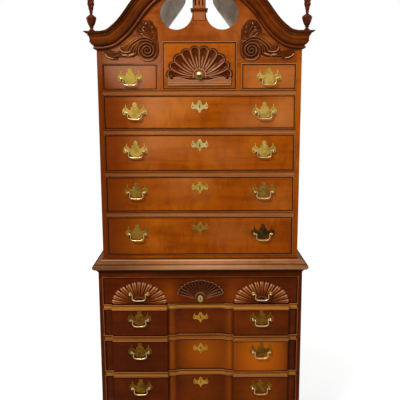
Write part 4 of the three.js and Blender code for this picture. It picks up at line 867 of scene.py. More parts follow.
# Swan-neck cornice: one section from the back, round the corner mitre and up the neck to its rosette
cornice = {
    "height": case["cornice"], "projection": 47.5, "roofDrop": 8, "rosetteX": 84, "rosetteRadius": 44,
    "rosetteSides": 96, "petals": 8, "petalRise": 3.0, "petalFrom": 0.26, "petalReach": 0.62,
    "rimFrom": 0.88, "rimRise": 2.0, "button": 0.28, "buttonRise": 9.0,
    "neck": [(1, 0), (0.922, 0.004), (0.843, 0.039), (0.789, 0.091), (0.735, 0.17), (0.681, 0.265),
             (0.629, 0.378), (0.575, 0.517), (0.521, 0.661), (0.467, 0.778), (0.414, 0.874), (0.358, 0.948),
             (0.299, 0.988), (0.239, 1), (0.1826, 1)],
    "section": [[(0, 0), (0, 0.1)], [(0.01, 0.13), (0.035, 0.24), (0.09, 0.28), (0.145, 0.25), (0.165, 0.2)],
                [(0.18, 0.2), (0.205, 0.21)], [(0.215, 0.25), (0.26, 0.34), (0.33, 0.45), (0.41, 0.52)],
                [(0.42, 0.56), (0.455, 0.56)], [(0.46, 0.53), (0.55, 0.535), (0.66, 0.56), (0.745, 0.62)],
                [(0.75, 0.655), (0.765, 0.69), (0.795, 0.7), (0.815, 0.67)],
                [(0.82, 0.69), (0.86, 0.75), (0.9, 0.87), (0.935, 0.94)], [(0.94, 0.985), (0.955, 1)],
                [(1, 1)], [(1, 0)]],
    # bands of painted light and shade up the section, and the gaps painted dark
    "glow": ([0, 0.08, 0.2, 0.3, 0.44, 0.5, 0.62, 0.72, 0.78, 0.86, 0.93, 0.97, 1],
             [-0.4, 0.1, -0.6, -0.1, 0.2, -0.5, 0.15, -0.2, 0.2, -0.4, 0.35, -0.3, -0.7]),
    "gaps": (0.01, 0.19, 0.44, 0.75, 0.82, 0.945),
}
rosetteZ = corniceFoot + case["neckRise"] + cornice["height"] / 2
boardTop = cornice["height"] - cornice["roofDrop"]  # how far the boards behind reach up the cornice


def headings(line):  # unit steps along a line of points
    ahead = np.gradient(line, axis=0)
    return ahead / np.linalg.norm(ahead, axis=1, keepdims=True)


def neckStations(steps=7):  # places on the neck's lower edge and the normals up and out
    line = splined(np.array(cornice["neck"]) * (upperHalf, case["neckRise"]) + (0, corniceFoot), steps)
    ahead = headings(line)
    normal = np.stack([ahead[:, 1], -ahead[:, 0]], axis=1)
    normal[0] = normal[-1] = (0, 1)
    return line, normal


def cornices():  # the section stands on the neck's normals, with bands of painted light and shade along it and painted shade in its gaps
    outline = section(*cornice["section"], steps=4) * (cornice["height"], cornice["projection"])
    up, out = outline[:, 0], outline[:, 1] + case["seam"]
    line, normal = neckStations()
    rings = [np.stack([upperHalf + out, np.full(len(out), float(depth)), corniceFoot + up], axis=1),
             np.stack([upperHalf + out, -out, corniceFoot + up], axis=1)]
    for (x, z), (nx, nz) in zip(line[1:], normal[1:]):
        rings.append(np.stack([x + nx * up, -out, z + nz * up], axis=1))
    run = ringed(rings)
    share = np.tile(np.clip(up / cornice["height"], 0, 1), len(rings))
    fields = {"glow": np.interp(share, *cornice["glow"]),
              "deep": 0.75 * np.max([hill(share, at, 0.018) for at in cornice["gaps"]], axis=0)}
    for sign, side in ((1, "right"), (-1, "left")):
        shape = run if sign > 0 else mirrored(run)
        buildPiece(f"cornice_{side}_run", [(shape, "mouldingX", fields)],
                   stands=[f"cornice_{side}"], sharp=38)
        buildPiece(f"cornice_{side}_rosette", [(rosette(sign * cornice["rosetteX"]), "mouldingZ")],
                   sharp=60)


def rosette(x):  # a turned disc whose face swells into petals round a button, inside a rounded rim
    radius, face, c = cornice["rosetteRadius"], cornice["projection"] + case["seam"], cornice
    a = (np.arange(c["rosetteSides"]) * 2 * math.pi / c["rosetteSides"])[None, :]
    s = (np.linspace(1, 0, 26) ** 0.9)[:, None]
    petal = np.sin(np.pi * np.clip((s - c["petalFrom"]) / c["petalReach"], 0, 1)) ** 0.8
    rise = 1.5 + c["petalRise"] * np.abs(np.cos(c["petals"] / 2 * a)) ** 0.6 * petal
    rise = np.where(s > c["rimFrom"], 2.5 + c["rimRise"] * dome((s - 0.94) / 0.06), rise)
    rise = np.where(s < c["button"], 2.0 + c["buttonRise"] * dome(s / 0.29), rise)
    front = np.stack([x + radius * s * np.cos(a), -(face + rise), rosetteZ + radius * s * np.sin(a)], axis=2)
    back = front[:1].copy()
    back[:, :, 1] = -case["seam"]
    return ringed(np.concatenate([back, front[:-1]]))


cornices()
print("cornices made")

# Pediment board in two layers, so that a quirk shows round the bead of the centre drawer
opening = {"x": 102, "radius": 71.5, "above": 157}
plinth = {"half": 29, "height": 145, "collarBelow": 9, "collarHeight": 11, "flute": 8.0, "fluteDepth": 4.0,
          "pitch": 16.0, "rear": 58, "tail": 35,
          "collar": ([(-4, 0), (6, 0)], [(6.3, 0.6), (8.6, 3), (9.4, 6)], [(9.4, 7), (9.4, 9.4)],
                     [(8.6, 10.4), (6, 11), (-4, 11)]),
          "cap": ([(-4, -7), (0.5, -7)], [(1, -5), (3, -2.4)], [(3.4, -2), (3.4, -0.1)], [(-4, -0.1)])}
openingZ = corniceFoot + opening["above"]
collarFoot = openingZ + plinth["collarBelow"]
plinthTop = collarFoot + plinth["collarHeight"] + plinth["height"]


def arc(x, z, radius, start, end, count):  # points round a centre between two bearings in degrees
    turn = np.radians(np.linspace(start, end, count))
    return np.stack([x + radius * np.cos(turn), z + radius * np.sin(turn)], axis=1)


def boardOutline(notchHalf, notchTop):  # two halves, each round its hole, with a notch for the centre drawer
    low, half = smallTop + bead["width"] + case["seam"], upperOpening - 2 * case["seam"]
    line, normal = neckStations()
    top = line + normal * boardTop
    top = top[(top[:, 0] < half) & (top[:, 0] > cornice["rosetteX"])]
    behind = arc(cornice["rosetteX"], rosetteZ, cornice["rosetteRadius"] - cornice["roofDrop"], 90, 262, 20)
    hole = arc(opening["x"], openingZ, opening["radius"], 104, -180, 72)
    side = [(notchHalf, notchTop), (notchHalf, low), (half, low), (half, corniceTop - cornice["roofDrop"])]
    right = np.concatenate([side, top, behind, hole])
    return np.concatenate([right, right[::-1] * (-1, 1)])


def flutes(x, z):  # round-ended hollows, as deep as a half circle across, with painted shade in them
    height, reach = np.zeros_like(x), plinth["flute"] / 2
    low, high = collarFoot + 2 * plinth["collarHeight"], plinthTop - plinth["collarHeight"]
    end = np.clip(np.maximum(low + reach - z, z - high + reach), 0, None)
    for middle in (-plinth["pitch"], 0.0, plinth["pitch"]):
        height = np.minimum(height, -plinth["fluteDepth"] * dome(np.hypot(x - middle, end) / reach))
    return height, {"deep": -height / 6, "glow": 0.35}


def pediment():  # the board, the post with its flutes, and the mouldings round the post
    edge, sunk = bead["width"] + bead["quirk"], bead["quirkDepth"]
    ground = prism(boardOutline(centreHalf, centreTop), 1, sunk, 20)
    strip = prism(boardOutline(centreHalf + edge, centreTop + edge), 1, 0, sunk + bead["lap"])
    buildPiece("pediment_veneer", [(ground, "pedimentX"), (strip, "pedimentX")], stands=["pediment_board"],
               bevel=0.4)
    half, rear, low = plinth["half"], plinth["rear"], openingZ - plinth["tail"]
    post, fields = carvedBoard(-half, half, low, plinthTop, -case["seam"], rear, flutes, pitch=1.0)
    buildPiece("plinth_post", [(post, "pedimentZ", fields)])
    path = [(-half, rear), (-half, 0), (half, 0), (half, rear)]
    parts = [(planSweep(path, section(*plinth[name], steps=4) + (0, z), closed=True), "mouldingX")
             for name, z in (("collar", collarFoot), ("cap", plinthTop))]
    buildPiece("plinth_mouldings", parts, sharp=40)


pediment()
print("pediment made")

# Bonnet: thin boards from the pediment to the back over the roof's curve and down into the cleft
bonnet = {
    "sheet": 5, "boardSteps": 5, "boardShare": 0.992, "front": 20.5,
    "roofGlow": -0.6,  # darker away from the openings, where the roof is weathered; round the openings the boards keep a pale tone that is painted light on the lining in shade
    "frontLine": [(-0.25, 1.93), (-0.5, 1.8), (-0.56, 1.56), (-0.36, 1.24), (0.1, 1.1), (0.54, 0.97),
                  (0.93, 0.56), (1.06, 0), (0.95, -0.56), (0.56, -0.96), (0, -1.1), (-0.8, -1.1)],
    "rearLine": [(-0.25, 1.93), (-0.44, 1.82), (-0.42, 1.56), (-0.17, 1.13), (0.18, 0.67), (0.53, 0.21),
                 (0.77, -0.11), (0.95, -0.42), (1.04, -0.8), (0.9, -1.04), (0.5, -1.1), (-0.8, -1.1)],
}


def bonnetLine(shares):  # the roof's line at one end, right half from the case's side to the middle
    half = upperInner - case["seam"]
    line, normal = neckStations(6)
    roof = (line + normal * boardTop)[::4]
    roof = roof[roof[:, 0] < half - cornice["roofDrop"]][:-1]
    lining = np.array(shares) * opening["radius"] + (opening["x"], openingZ)
    fine = splined(np.concatenate([[(half, corniceTop - cornice["roofDrop"])], roof, lining]), 4)
    return fine[fine[:, 0] >= 0.5 - 1e-9]


def underLine(line, away):  # a line as far under another as it is away
    ahead = headings(line)
    return line + np.stack([-ahead[:, 1], ahead[:, 0]], axis=1) * away


def bonnetBoards():  # sections blend evenly from the front line to the rear one
    front, rear = bonnetLine(bonnet["frontLine"]), bonnetLine(bonnet["rearLine"])
    count = min(len(front), len(rear))
    ends = [(y, line[:count], underLine(line[:count], bonnet["sheet"]))
            for y, line in ((bonnet["front"], front), (depth, rear))]
    parts = []
    marks = [*range(0, count - 1, bonnet["boardSteps"]), count - 1]
    for a, b in zip(marks, marks[1:]):
        sections = []
        for y, top, under in ends:
            ring = np.concatenate([top[a:b + 1], under[a:b + 1][::-1]])
            ring = ring.mean(axis=0) + (ring - ring.mean(axis=0)) * bonnet["boardShare"]
            sections.append(np.stack([ring[:, 0], np.full(len(ring), float(y)), ring[:, 1]], axis=1))
        steps = np.linspace(0, 1, 9)[:, None, None]
        board = ringed(sections[0][None] * (1 - steps) + sections[1][None] * steps)
        away = np.hypot(board[0][:, 0] - opening["x"], board[0][:, 2] - openingZ) / opening["radius"]
        fields = {"glow": bonnet["roofGlow"] * ramp(away, 1.3, 2.1)}
        parts += [(board, "bonnetY", fields), (mirrored(board), "bonnetY", fields)]
    buildPiece("bonnet_boards", parts, stands=["bonnet_roof"], sharp=30)
    low, half = subTop + case["board"] + case["seam"], upperInner - case["seam"]
    inside = underLine(rear[:count], bonnet["sheet"] * 1.3)
    inside = inside[inside[:, 0] < half][::2]
    outline = np.concatenate([[(half, low)], inside, (inside * (-1, 1))[::-1], [(-half, low)]])
    buildPiece("bonnet_rear_board", [(prism(outline, 1, backFace, depth), "bonnetX")],
               stands=["bonnet_back_board"], bevel=0.5)


bonnetBoards()
print("bonnet made")

# Finials: a turned urn under a flame that twists as it tapers, drawn in shares of radius and height
finial = {"sides": 48, "lobes": 4, "turns": 1.35, "grooves": 0.34,
          "urn": [[(0, 0), (0.55, 0)], [(0.57, 0.004), (0.57, 0.026)],
                  [(0.5, 0.03), (0.36, 0.045), (0.3, 0.06), (0.33, 0.075)],
                  [(0.38, 0.08), (0.42, 0.085), (0.42, 0.095)],
                  [(0.4, 0.1), (0.62, 0.14), (0.84, 0.2), (0.98, 0.265)], [(1, 0.272), (1, 0.285)],
                  [(0.94, 0.292), (0.74, 0.315), (0.48, 0.335), (0.32, 0.348)],
                  [(0.29, 0.352), (0.29, 0.362)],
                  [(0.25, 0.37), (0.3, 0.385), (0.36, 0.398)], [(0.34, 0.403), (0.3, 0.408)]],
          "flame": [(0.3, 0.408), (0.42, 0.45), (0.6, 0.52), (0.68, 0.59), (0.66, 0.67), (0.56, 0.76),
                    (0.42, 0.85), (0.24, 0.93), (0.1, 0.98), (0.02, 1.0)],
          "places": (("left", -476, -16, corniceTop, 22.5, 205), ("right", 476, -16, corniceTop, 22.5, 205),
                     ("centre", 0, 29, plinthTop, 26, 222))}  # x, y, foot, radius, height


def addFinial(name, x, y, z, radius, height):  # a turned shape whose flame is grooved
    shares = np.concatenate([section(*finial["urn"], steps=5), splined(finial["flame"], 8)[1:]])
    start = finial["flame"][0][1] * height

    def swell(angle, along):  # |sin|^0.7 ropes that turn with the height, shallow at both ends of the flame
        share = np.clip((along - start) / (height - start), 0, 1)
        twist = angle - finial["turns"] * 2 * math.pi * share ** 0.9
        rope = np.abs(np.sin(finial["lobes"] / 2 * twist)) ** 0.7
        grooves = finial["grooves"] * np.clip(share * 9, 0, 1) * np.clip((1 - share) * 6, 0.25, 1)
        return 1 - grooves * (1 - rope)

    shape = turned(shares * (radius, height), finial["sides"], (x, y, z + case["seam"]), 2, swell)
    buildPiece(f"finial_{name}_flame", [(shape, "finialZ")], stands=[f"finial_{name}"],
               sharp=50)


for place in finial["places"]:
    addFinial(*place)
print("finials made")


# Drawer boxes: sides, back and a bottom let into them
def buildBox(name, x, face, half, row, thickness):
    half = half - drawer["gap"]
    y0, y1 = face + thickness + case["seam"], backFace - drawer["tail"]
    low, high = row[0] + drawer["lift"], row[1] - drawer["drop"]
    wall, parts = drawer["side"], Boards()
    inner = half - wall
    parts.board("poplarY", x - half, x - inner, y0, y1, low, high)
    parts.board("poplarY", x + inner, x + half, y0, y1, low, high)
    parts.board("poplarX", x - inner, x + inner, y1 - wall, y1, low, high)
    parts.board("poplarX", x - inner - 1, x + inner + 1, y0, y1 - wall, low + 1.5, low + drawer["bottom"])
    buildPiece(f"{name}_box_boards", parts, body=name, stands=[f"{name}_box"],
               bevel=0.9)


# Soft spots on a front, of the wood's own figure and, on the top long drawer, a painted glare: place across,
# place up as a share, reach across and up, paler or darker
figureAndGlare = {
    "upper_drawer_1": [(-180, 0.8, 190, 0.5, 0.35), (260, 0.3, 160, 0.4, 0.3), (60, 0.3, 60, 0.5, -0.12),
                       (380, 0.5, 60, 0.9, 0.3)],
    "upper_drawer_2": [(-150, 0.85, 200, 0.4, 0.3), (120, 0.4, 110, 0.4, 0.15), (380, 0.75, 60, 0.3, -0.05)],
    "upper_drawer_3": [(-60, 0.75, 130, 0.4, 0.2), (150, 0.3, 60, 0.4, -0.16), (330, 0.35, 110, 0.4, 0.12)],
    "upper_drawer_4": [(120, 0.6, 110, 0.4, 0.16), (-90, 0.4, 120, 0.5, -0.1), (425, 0.5, 50, 1.0, -0.35)],
    "top_left_drawer": [(-420, 0.4, 50, 0.8, -0.3)],
    "top_right_drawer": [(300, 0.5, 110, 0.7, 0.38), (420, 0.5, 60, 1.0, 0.2)],
    "block_drawer_1": [(0, 0.5, 90, 0.8, 0.09), (-270, 0.5, 90, 0.5, -0.05), (270, 0.4, 90, 0.6, 0.12),
                       (-138, 0.5, 14, 1.0, 0.35), (138, 0.5, 14, 1, 0.3)],
    "block_drawer_2": [(0, 0.6, 100, 0.8, 0.62), (285, 0.5, 130, 1.2, 1.05), (-300, 0.5, 110, 0.8, -0.45),
                       (-140, 0.5, 14, 1.0, 0.55), (140, 0.5, 14, 1.0, 0.35), (440, 0.5, 22, 2.0, -0.6)],
    "block_drawer_3": [(0, 0.5, 90, 0.8, 0.15), (290, 0.5, 100, 0.6, 0.3), (-138, 0.5, 14, 1.0, 0.4),
                       (138, 0.5, 14, 1.0, 0.3), (-300, 0.5, 90, 0.8, -0.2)],
    "top_centre_drawer": [(0, 0.5, 160, 0.6, 0.12)],
    "shell_drawer": [(-150, 0.4, 35, 0.5, 0.3), (150, 0.4, 35, 0.5, 0.2)],
}
# Pale reflections that lie on two fronts
hazes = {"upper_drawer_1": [(-225, 0.75, 70, 0.8, 0.12)], "upper_drawer_2": [(-235, 0.8, 70, 0.6, 0.09)]}


def spotted(spots, x, share):  # the sum of strength times exp(-(across / reach)^2 - (up / reach)^2)
    total = np.zeros_like(x)
    for atX, atUp, reachX, reachUp, strength in spots:
        total = total + strength * np.exp(-((x - atX) / reachX) ** 2 - ((share - atUp) / reachUp) ** 2)
    return total


def plainFront(name, x, half, row):  # a flat board with eased edges
    half = half - drawer["gap"]
    low, high = row[0] + drawer["gap"], row[1] - drawer["gap"]

    def relief(across, z):  # flat, with its spots of figure and painted glare, and its painted reflections
        share = (z - low) / (high - low)
        return 0 * across, {"glow": spotted(figureAndGlare[name], across, share),
                            "shine": spotted(hazes.get(name, []), across, share)}

    board, fields = carvedBoard(x - half, x + half, low, high, drawer["inset"], drawer["upperFront"], relief,
                                pitch=14, edge=1.2)
    buildPiece(f"{name}_front_board", [(board, "cherryX", fields)], body=name, stands=[f"{name}_front"])


def dense(line, step):  # points no further apart than a step along a line
    spans = np.linalg.norm(np.diff(line, axis=0), axis=1)
    counts = np.maximum(1, np.ceil(spans / step).astype(int))
    spaced = [np.linspace(i, i + 1, n, endpoint=False) for i, n in enumerate(counts)]
    marks = np.concatenate(spaced + [[len(line) - 1]])
    return np.stack([np.interp(marks, np.arange(len(line)), line[:, k]) for k in (0, 1)], axis=1)


def blockedFront(name, row):  # its face follows the blocks, with painted shade at its edges and in the blocks' corners
    reach, rear = lowerOpening - drawer["gap"], lowerFace + drawer["lowerFront"]
    line = dense(blockLine(reach, -drawer["inset"], steps=8), 18)
    low, high = row[0] + drawer["gap"], row[1] - drawer["gap"]
    near = np.array([0, 0.8, 2.2, 3.6, 5.2])
    levels = np.concatenate([low + near, np.linspace(low + 10, high - 10, 9), high - near[::-1]])
    shape = stacked(np.concatenate([line, [(reach, rear), (-reach, rear)]]), levels)
    side, z = np.abs(shape[0][:, 0]), shape[0][:, 2]
    border = np.minimum(np.minimum(z - low, high - z), reach - side)
    inCorner = np.minimum(np.abs(side - blockOuter - 2), np.abs(side - case["blockInner"] + 2))
    fields = {"deep": np.maximum(jointShadow(border), 0.45 * hill(inCorner, 0, 4)),
              "glow": spotted(figureAndGlare[name], shape[0][:, 0], (z - low) / (high - low))}
    buildPiece(f"{name}_front_board", [(shape, "darkX", fields)], body=name,
               stands=[f"{name}_front"])


plainFronts = [(f"upper_drawer_{4 - i}", 0, upperOpening, row) for i, row in enumerate(upperRows)]
smallHalf = (upperOpening - partitionOuter) / 2
plainFronts += [(f"top_{side}_drawer", middle, smallHalf, (topFoot, smallTop))
                for side, middle in (("left", -smallMiddle), ("right", smallMiddle))]
for name, middle, half, row in plainFronts:
    plainFront(name, middle, half, row)
    buildBox(name, middle, 0, half, row, drawer["upperFront"])
for i, row in enumerate(lowerRows[:-1]):
    blockedFront(f"block_drawer_{3 - i}", row)
    buildBox(f"block_drawer_{3 - i}", 0, lowerFace, lowerOpening, row, drawer["lowerFront"])
buildBox("shell_drawer", 0, lowerFace, lowerOpening, shellRow, drawer["lowerFront"])
buildBox("top_centre_drawer", 0, 0, centreHalf, (topFoot, centreTop), drawer["upperFront"])
print("drawers made")


# Carved shells: lobes fan out from a hub. Each place has a share of the way from the hub to the rim and a
# place across its lobe. The rim swells out by sin(pi across)^0.55 within each lobe, and the lobes' edges turn
# by bend cos(angle)^1.5 (1 - share of the way) towards the hub.
def fan(x, z, hub, lobeAngles, rims, swell, bend=0.0):
    across, up = x - hub[0], z - hub[1]
    angle, reach = np.degrees(np.arctan2(up, np.abs(across))), np.hypot(across, up)
    rim = np.interp(angle, rims[0], rims[1])
    angle = angle + bend * np.clip(np.cos(np.radians(angle)), 0, 1) ** 1.5 * np.clip(1 - reach / rim, 0, 1)
    lobe = np.interp(angle, lobeAngles, np.arange(len(lobeAngles)))
    within = lobe - np.floor(np.clip(lobe, 0, len(lobeAngles) - 1.0001))
    rim = rim + swell * np.sin(math.pi * np.clip(within, 0, 1)) ** 0.55
    return reach / rim, within, angle, reach


centreShell = {"hub": 61.8, "angles": [-5, 12.2, 28, 49.1, 69, 90],
               "rims": ([-5, 12.2, 28, 49.1, 69, 90], [133, 127, 124, 119, 113, 111.5]),
               "swell": 14.5, "proud": 8.8, "hubReach": 33.0, "ring": 28.6, "ringHalf": 3.4, "beads": 9,
               "beadReach": 25, "ledgeFoot": 17, "ledgeHalf": 143, "lip": 6.4, "curlX": 123, "curlDown": 5,
               "curl": 8, "hubLift": 5.0, "ringLift": 3.4, "beadLift": 1.3, "knobSeat": 6.6, "knobBall": 10,
               "hollowNear": 1.5, "hollowRise": 6.6, "ledgeLift": 7.4, "lipLift": 7.6, "curlLift": 3.0,
               "curlRise": 6.0}
sideShell = {"angles": [0, 11.4, 22, 36.3, 52.5, 68.5, 83.5, 96.5],
             "rims": ([0, 10, 28, 45, 60, 90], [116, 118, 113, 104, 97, 97]), "swell": 13, "proud": 14.0,
             "boss": (23, 13), "bossUp": 20, "bossLift": 9.5, "bossRise": 3.5, "ground": 6.5,
             "inner": 11.5, "innerFall": 3.0, "groove": 2.6}
pocketShell = {"foot": 19, "angles": [14, 22, 31, 41, 51, 62, 73, 84.5, 95.5],
               "rims": ([14, 22, 45, 70, 90], [104, 108, 98, 89, 88]), "swell": 9.0, "depth": 9.0,
               "dome": 8.0, "ring": 25, "ringHalf": 2.0, "ringLift": 1.2, "rib": 3.6, "rim": 2.6}


# Hollow flutes with rounded ribs between, a thin rim, a ringed hub and a shaped ledge
def centreShellRelief(x, z):
    c = centreShell
    hub, half = topFoot + c["hub"], c["ledgeHalf"]
    share, within, angle, reach = fan(x, z, (0, hub), c["angles"], c["rims"], c["swell"], bend=20)

    def line(at, width):  # a thin line along the flutes, as far into each as a share of its width
        return np.exp(-((inward - at) * 0.32 * reach / width) ** 2)

    # the ribs, and the lines along them, in the middle of the flutes and between
    ribHalf = np.minimum(0.045 + 0.46 * np.clip(1 - share, 0, 1) ** 1.15, 0.44)
    inward = np.minimum(within, 1 - within)
    toRib = inward / ribHalf
    place = np.clip((inward - ribHalf) / (0.5 - ribHalf), 0, 1)
    first = line(0, 2.0)
    second = line(0.5, 2.1) * ramp(share, 0.76, 0.58) * ramp(share, 0.27, 0.34)
    between = line(0.25, 2.2) * ramp(share, 0.92, 0.7) * ramp(share, 0.27, 0.34)
    hollow = c["hollowNear"] + c["hollowRise"] * ramp(share, 0.25, 0.9)
    hollow = hollow * np.sin(math.pi / 2 * place) ** 0.7
    edge = c["proud"] - 2.4 * ramp(share, 0.95, 0.3)
    cuts = 0.6 * dome(toRib) + 1.0 * first + 1.4 * second - 0.8 * between
    height = (edge - hollow * ramp(share, 1.0, 0.93) + cuts * (share < 0.95)) * ramp(share, 1.02, 0.99)

    # the hub, with a ring and beads inside it
    band = dome((reach - c["ring"]) / c["ringHalf"])
    beads, inBeads = np.abs(np.sin(c["beads"] * np.radians(angle))) ** 0.6, reach < c["beadReach"]
    inHub = (reach < c["hubReach"]) & (z > hub - 9)
    height = np.where(inHub, c["hubLift"] + c["ringLift"] * band + c["beadLift"] * beads * inBeads, height)
    carvedPart = (share < 1.0) & (z > hub - 10)
    fluted = carvedPart & ~inHub
    mid = np.sin(math.pi / 2 * place) ** 0.6
    # painted shade in the flutes and between lines, painted highlight on the lines and along the rim, and a
    # painted shadow round the outside of the rim
    deep = np.where(fluted, 0.6 * ramp(share, 0.36, 0.76) * mid * (toRib > 1) * ramp(share, 0.985, 0.95), 0)
    deep = np.where(fluted, np.maximum(deep, 0.14 + 0.5 * between), deep)
    shine = np.where(fluted, np.maximum(first * (0.5 + 0.16 * ramp(share, 0.9, 0.5)), 0.62 * second), 0)
    shine = np.maximum(shine, 0.5 * hill(share, 0.978, 0.013) * (z > hub - 6))
    deep = np.maximum(deep, 0.95 * hill(share, 1.024, 0.03) * (share > 1) * (z > hub - 10))
    # the hub's ring and beads get painted highlight, with painted shade between the beads and in a groove
    shine = np.where(inHub, 0.6 * band ** 2 + 0.3 * beads * inBeads * (reach > 18), shine)
    deep = np.where(inHub, 0.55 * (np.abs(reach - 24.6) < 1.2) + 0.35 * (1 - beads) * (reach < 24), deep)

    # the ledge with its shaped top, rounded lip and curled ends
    low, side = topFoot + c["ledgeFoot"], np.abs(x)
    top = hub - 19.5 + 12.5 * ramp(side, 38, 100) - 12 * ramp(side, 112, 124) + 11 * ramp(side, 126, 138)
    inLedge, lip = (z < top) & (z > low) & (side < half), low + c["lip"]
    onLedge = inLedge & (reach > 20)
    ledge = c["ledgeLift"] - 1.8 * ramp(z, top - 3, top - 20) + 1.0 * hill(z, top - 2, 1.6)
    ledge = np.where(z < lip, c["lipLift"] * dome((z - low - 3) / 3.4), ledge)
    height = np.where((z < hub - 10) & ~inLedge & (reach > 20), 0.0, height)
    height = np.where(onLedge, ledge, height)
    curl = np.hypot(side - c["curlX"], z - (hub - c["curlDown"])) / c["curl"]
    curled = c["curlLift"] + c["curlRise"] * np.cos(np.clip(curl, 0, 1) * math.pi / 2)
    height = np.where(curl < 1, curled, height)
    # painted highlight along the ledge, and painted shade in a line above its lip, just above its top and
    # under it
    lit = 0.32 + 0.24 * hill(z, top - 2, 1.8) + 0.4 * (z < lip) + 0.2 * hill(z, lip + 5, 3)
    shine = np.where(onLedge, lit, shine)
    deep = np.where(onLedge, 0.85 * hill(z, lip + 0.8, 2.0), deep)
    under = 0.9 * hill(z, top + 2.2, 2.2) * (side < half) * (reach > 26)
    deep = np.where(~onLedge & (z < top + 8) & (z >= top), np.maximum(deep, under), deep)
    deep = np.maximum(deep, 0.8 * hill(z, low - 1.4, 1.5) * (side < half + 2) * (z < low))
    glow = spotted(figureAndGlare["top_centre_drawer"], x, (z - topFoot) / case["centreRow"])
    glow = np.where(carvedPart, -0.9, np.where(inLedge, -0.85, glow))
    return height, {"glow": glow, "deep": deep, "shine": shine}


def shellDrawerRelief(x, z):  # two raised fans of rounded petals, and a sunk shell of fine ribs between them
    c, p = sideShell, pocketShell
    foot = shellRow[0] + drawer["gap"]
    height, deep, shine = np.zeros((3, *x.shape))
    glow = spotted(figureAndGlare["shell_drawer"], x, (z - foot) / case["shellRow"])
    for middle in (-lowerHandle, lowerHandle):
        # petals with a groove each: flat towards the hub, rounded and notched at their tips
        share, within, angle, reach = fan(x, z, (middle, foot - 1), c["angles"], c["rims"], 0)
        r = np.abs(2 * within - 1) / (1.0 - 0.2 * ramp(share, 0.55, 1.0))
        tip = 1.0 + c["swell"] / 100 * np.clip(1 - r ** 2.2, 0, 1) ** 0.6 - 0.05 * hill(r, 0, 0.2)
        body = dome(r ** 2)
        inner = c["inner"] - c["innerFall"] * ramp(share, 0.62, 0.2) + 1.2 * body * ramp(share, 0.2, 0.5)
        outer = (c["proud"] - 3.0 * ramp(share, 0.6, 1.08)) * body
        outer = outer * np.sqrt(np.clip((tip - share) / 0.05, 0, 1))
        blend, groove = ramp(share, 0.45, 0.62), hill(r, 0, 0.34)
        lift = inner * (1 - blend) + outer * blend - c["groove"] * groove * ramp(share, 0.5, 0.85)
        inTips = (share < tip) & (z > foot)
        inside = (share < tip) & (lift > 0.4) & (r < 1)
        height = np.where((share < 1.0) & (z > foot), c["ground"] * ramp(share, 1.0, 0.94), height)
        height = np.where(inside, np.maximum(lift, 0.5), height)
        # petals lighter towards their tips, with a painted highlight along each crest and painted shade in
        # the clefts and grooves
        glow = np.where(inTips, -0.1 + 0.36 * ramp(share, 0.35, 0.95) * inside, glow)
        crest = hill(r, 0.62, 0.2) * (0.03 + 0.6 * ramp(share, 0.62, 1.04))
        shine = np.where(inside, crest + 0.3 * ramp(share, 0.98, 1.06), shine)
        cleft = 0.5 * np.clip((r - 0.85) / 0.2, 0, 1) * ramp(share, 0.2, 0.5)
        deep = np.where(inTips, np.maximum(cleft, 0.26 * groove * ramp(share, 0.5, 0.8)), deep)
        # the boss at the hub, with painted shade on it and a painted arc of highlight above it
        boss = np.hypot((x - middle) / c["boss"][0], (z - foot - c["bossUp"]) / c["boss"][1])
        height = np.where(boss < 1, c["bossLift"] + c["bossRise"] * dome(boss), height)
        glow = np.where(boss < 1, -0.5, glow)
        shine = np.where(boss < 1.25, 0.4 * hill(boss, 1.08, 0.1) * (z > foot + 22), shine)
        deep = np.where(boss < 1, 0.25 + 0.4 * boss ** 3, deep)

    # the sunk shell, with a dome and a ring at its hub and a raised rim
    hub = shellRow[0] + p["foot"]
    share, within, angle, reach = fan(x, z, (0, hub), p["angles"], p["rims"], p["swell"])
    arch = np.sin(math.pi * np.clip(within, 0, 1))
    rib = np.abs(arch) ** 0.7
    bowl = p["depth"] * (0.3 + 0.7 * ramp(share, 1.0, 0.55)) * ramp(share, 1.0, 0.96)
    sunk = -bowl + p["rib"] * (1 - rib) * ramp(share, 0.1, 0.3) * ramp(share, 1.02, 0.9)
    inside = (share < 1.01) & (angle - 14 + 8 * np.clip(1 - reach / 60, 0, 1) > 0) & (z > hub - 4)
    middleRing = np.hypot(x, (z - hub - 5) * 0.85)
    ring = hill(middleRing, p["ring"], p["ringHalf"])
    raised = np.minimum(sunk + p["dome"] * ramp(middleRing, 27, 20), 0.3)
    raised = raised + p["rim"] * hill(share, 0.985, 0.024) + p["ringLift"] * ring
    height = np.where(inside, raised, height)
    glow = np.where(inside, -0.55, glow)
    # painted highlight along fine lines, the ring and the rim; painted shade on the ribs and inside the rim,
    # and a painted shadow round the outside
    fine = (1 - rib) ** 1.5 * ramp(share, 0.2, 0.4) * ramp(share, 0.98, 0.9)
    lines = fine * (0.15 + 0.24 * hill(angle, 20, 14)) + 0.26 * ring
    shine = np.where(inside, np.maximum(lines, 0.75 * hill(share, 0.985, 0.022) * arch ** 0.7), shine)
    shade = np.maximum(0.24 * rib * ramp(share, 0.3, 0.8), 0.6 * hill(share, 0.93, 0.025))
    deep = np.where(inside, shade, deep)
    around = (share >= 1.01) & (share < 1.05) & (angle > 12)
    deep = np.where(around, 0.7 * (1.05 - share) / 0.04, deep)
    return height, {"glow": glow, "deep": deep, "shine": shine}


handle = {"postsApart": 82, "upperIn": 137.5, "lowerPast": 2, "out": 14, "wire": 2.1, "grip": 3.1,
          "gripHalf": 26, "ringX": 20, "ringHalf": 1.6, "ringProud": 0.6, "wireEnd": 1.8,
          "longPosts": (100, 91, 92, 73.5), "longKeys": (130, 112, 119, 99.5),
          "blockPosts": (125, 102, 83), "blockKeys": (140, 107, 83), "smallPost": 49, "shellPost": 53.5}
upperHandle = upperOpening - handle["upperIn"]
lowerHandle = (case["blockInner"] + blockOuter) / 2 + handle["lowerPast"]


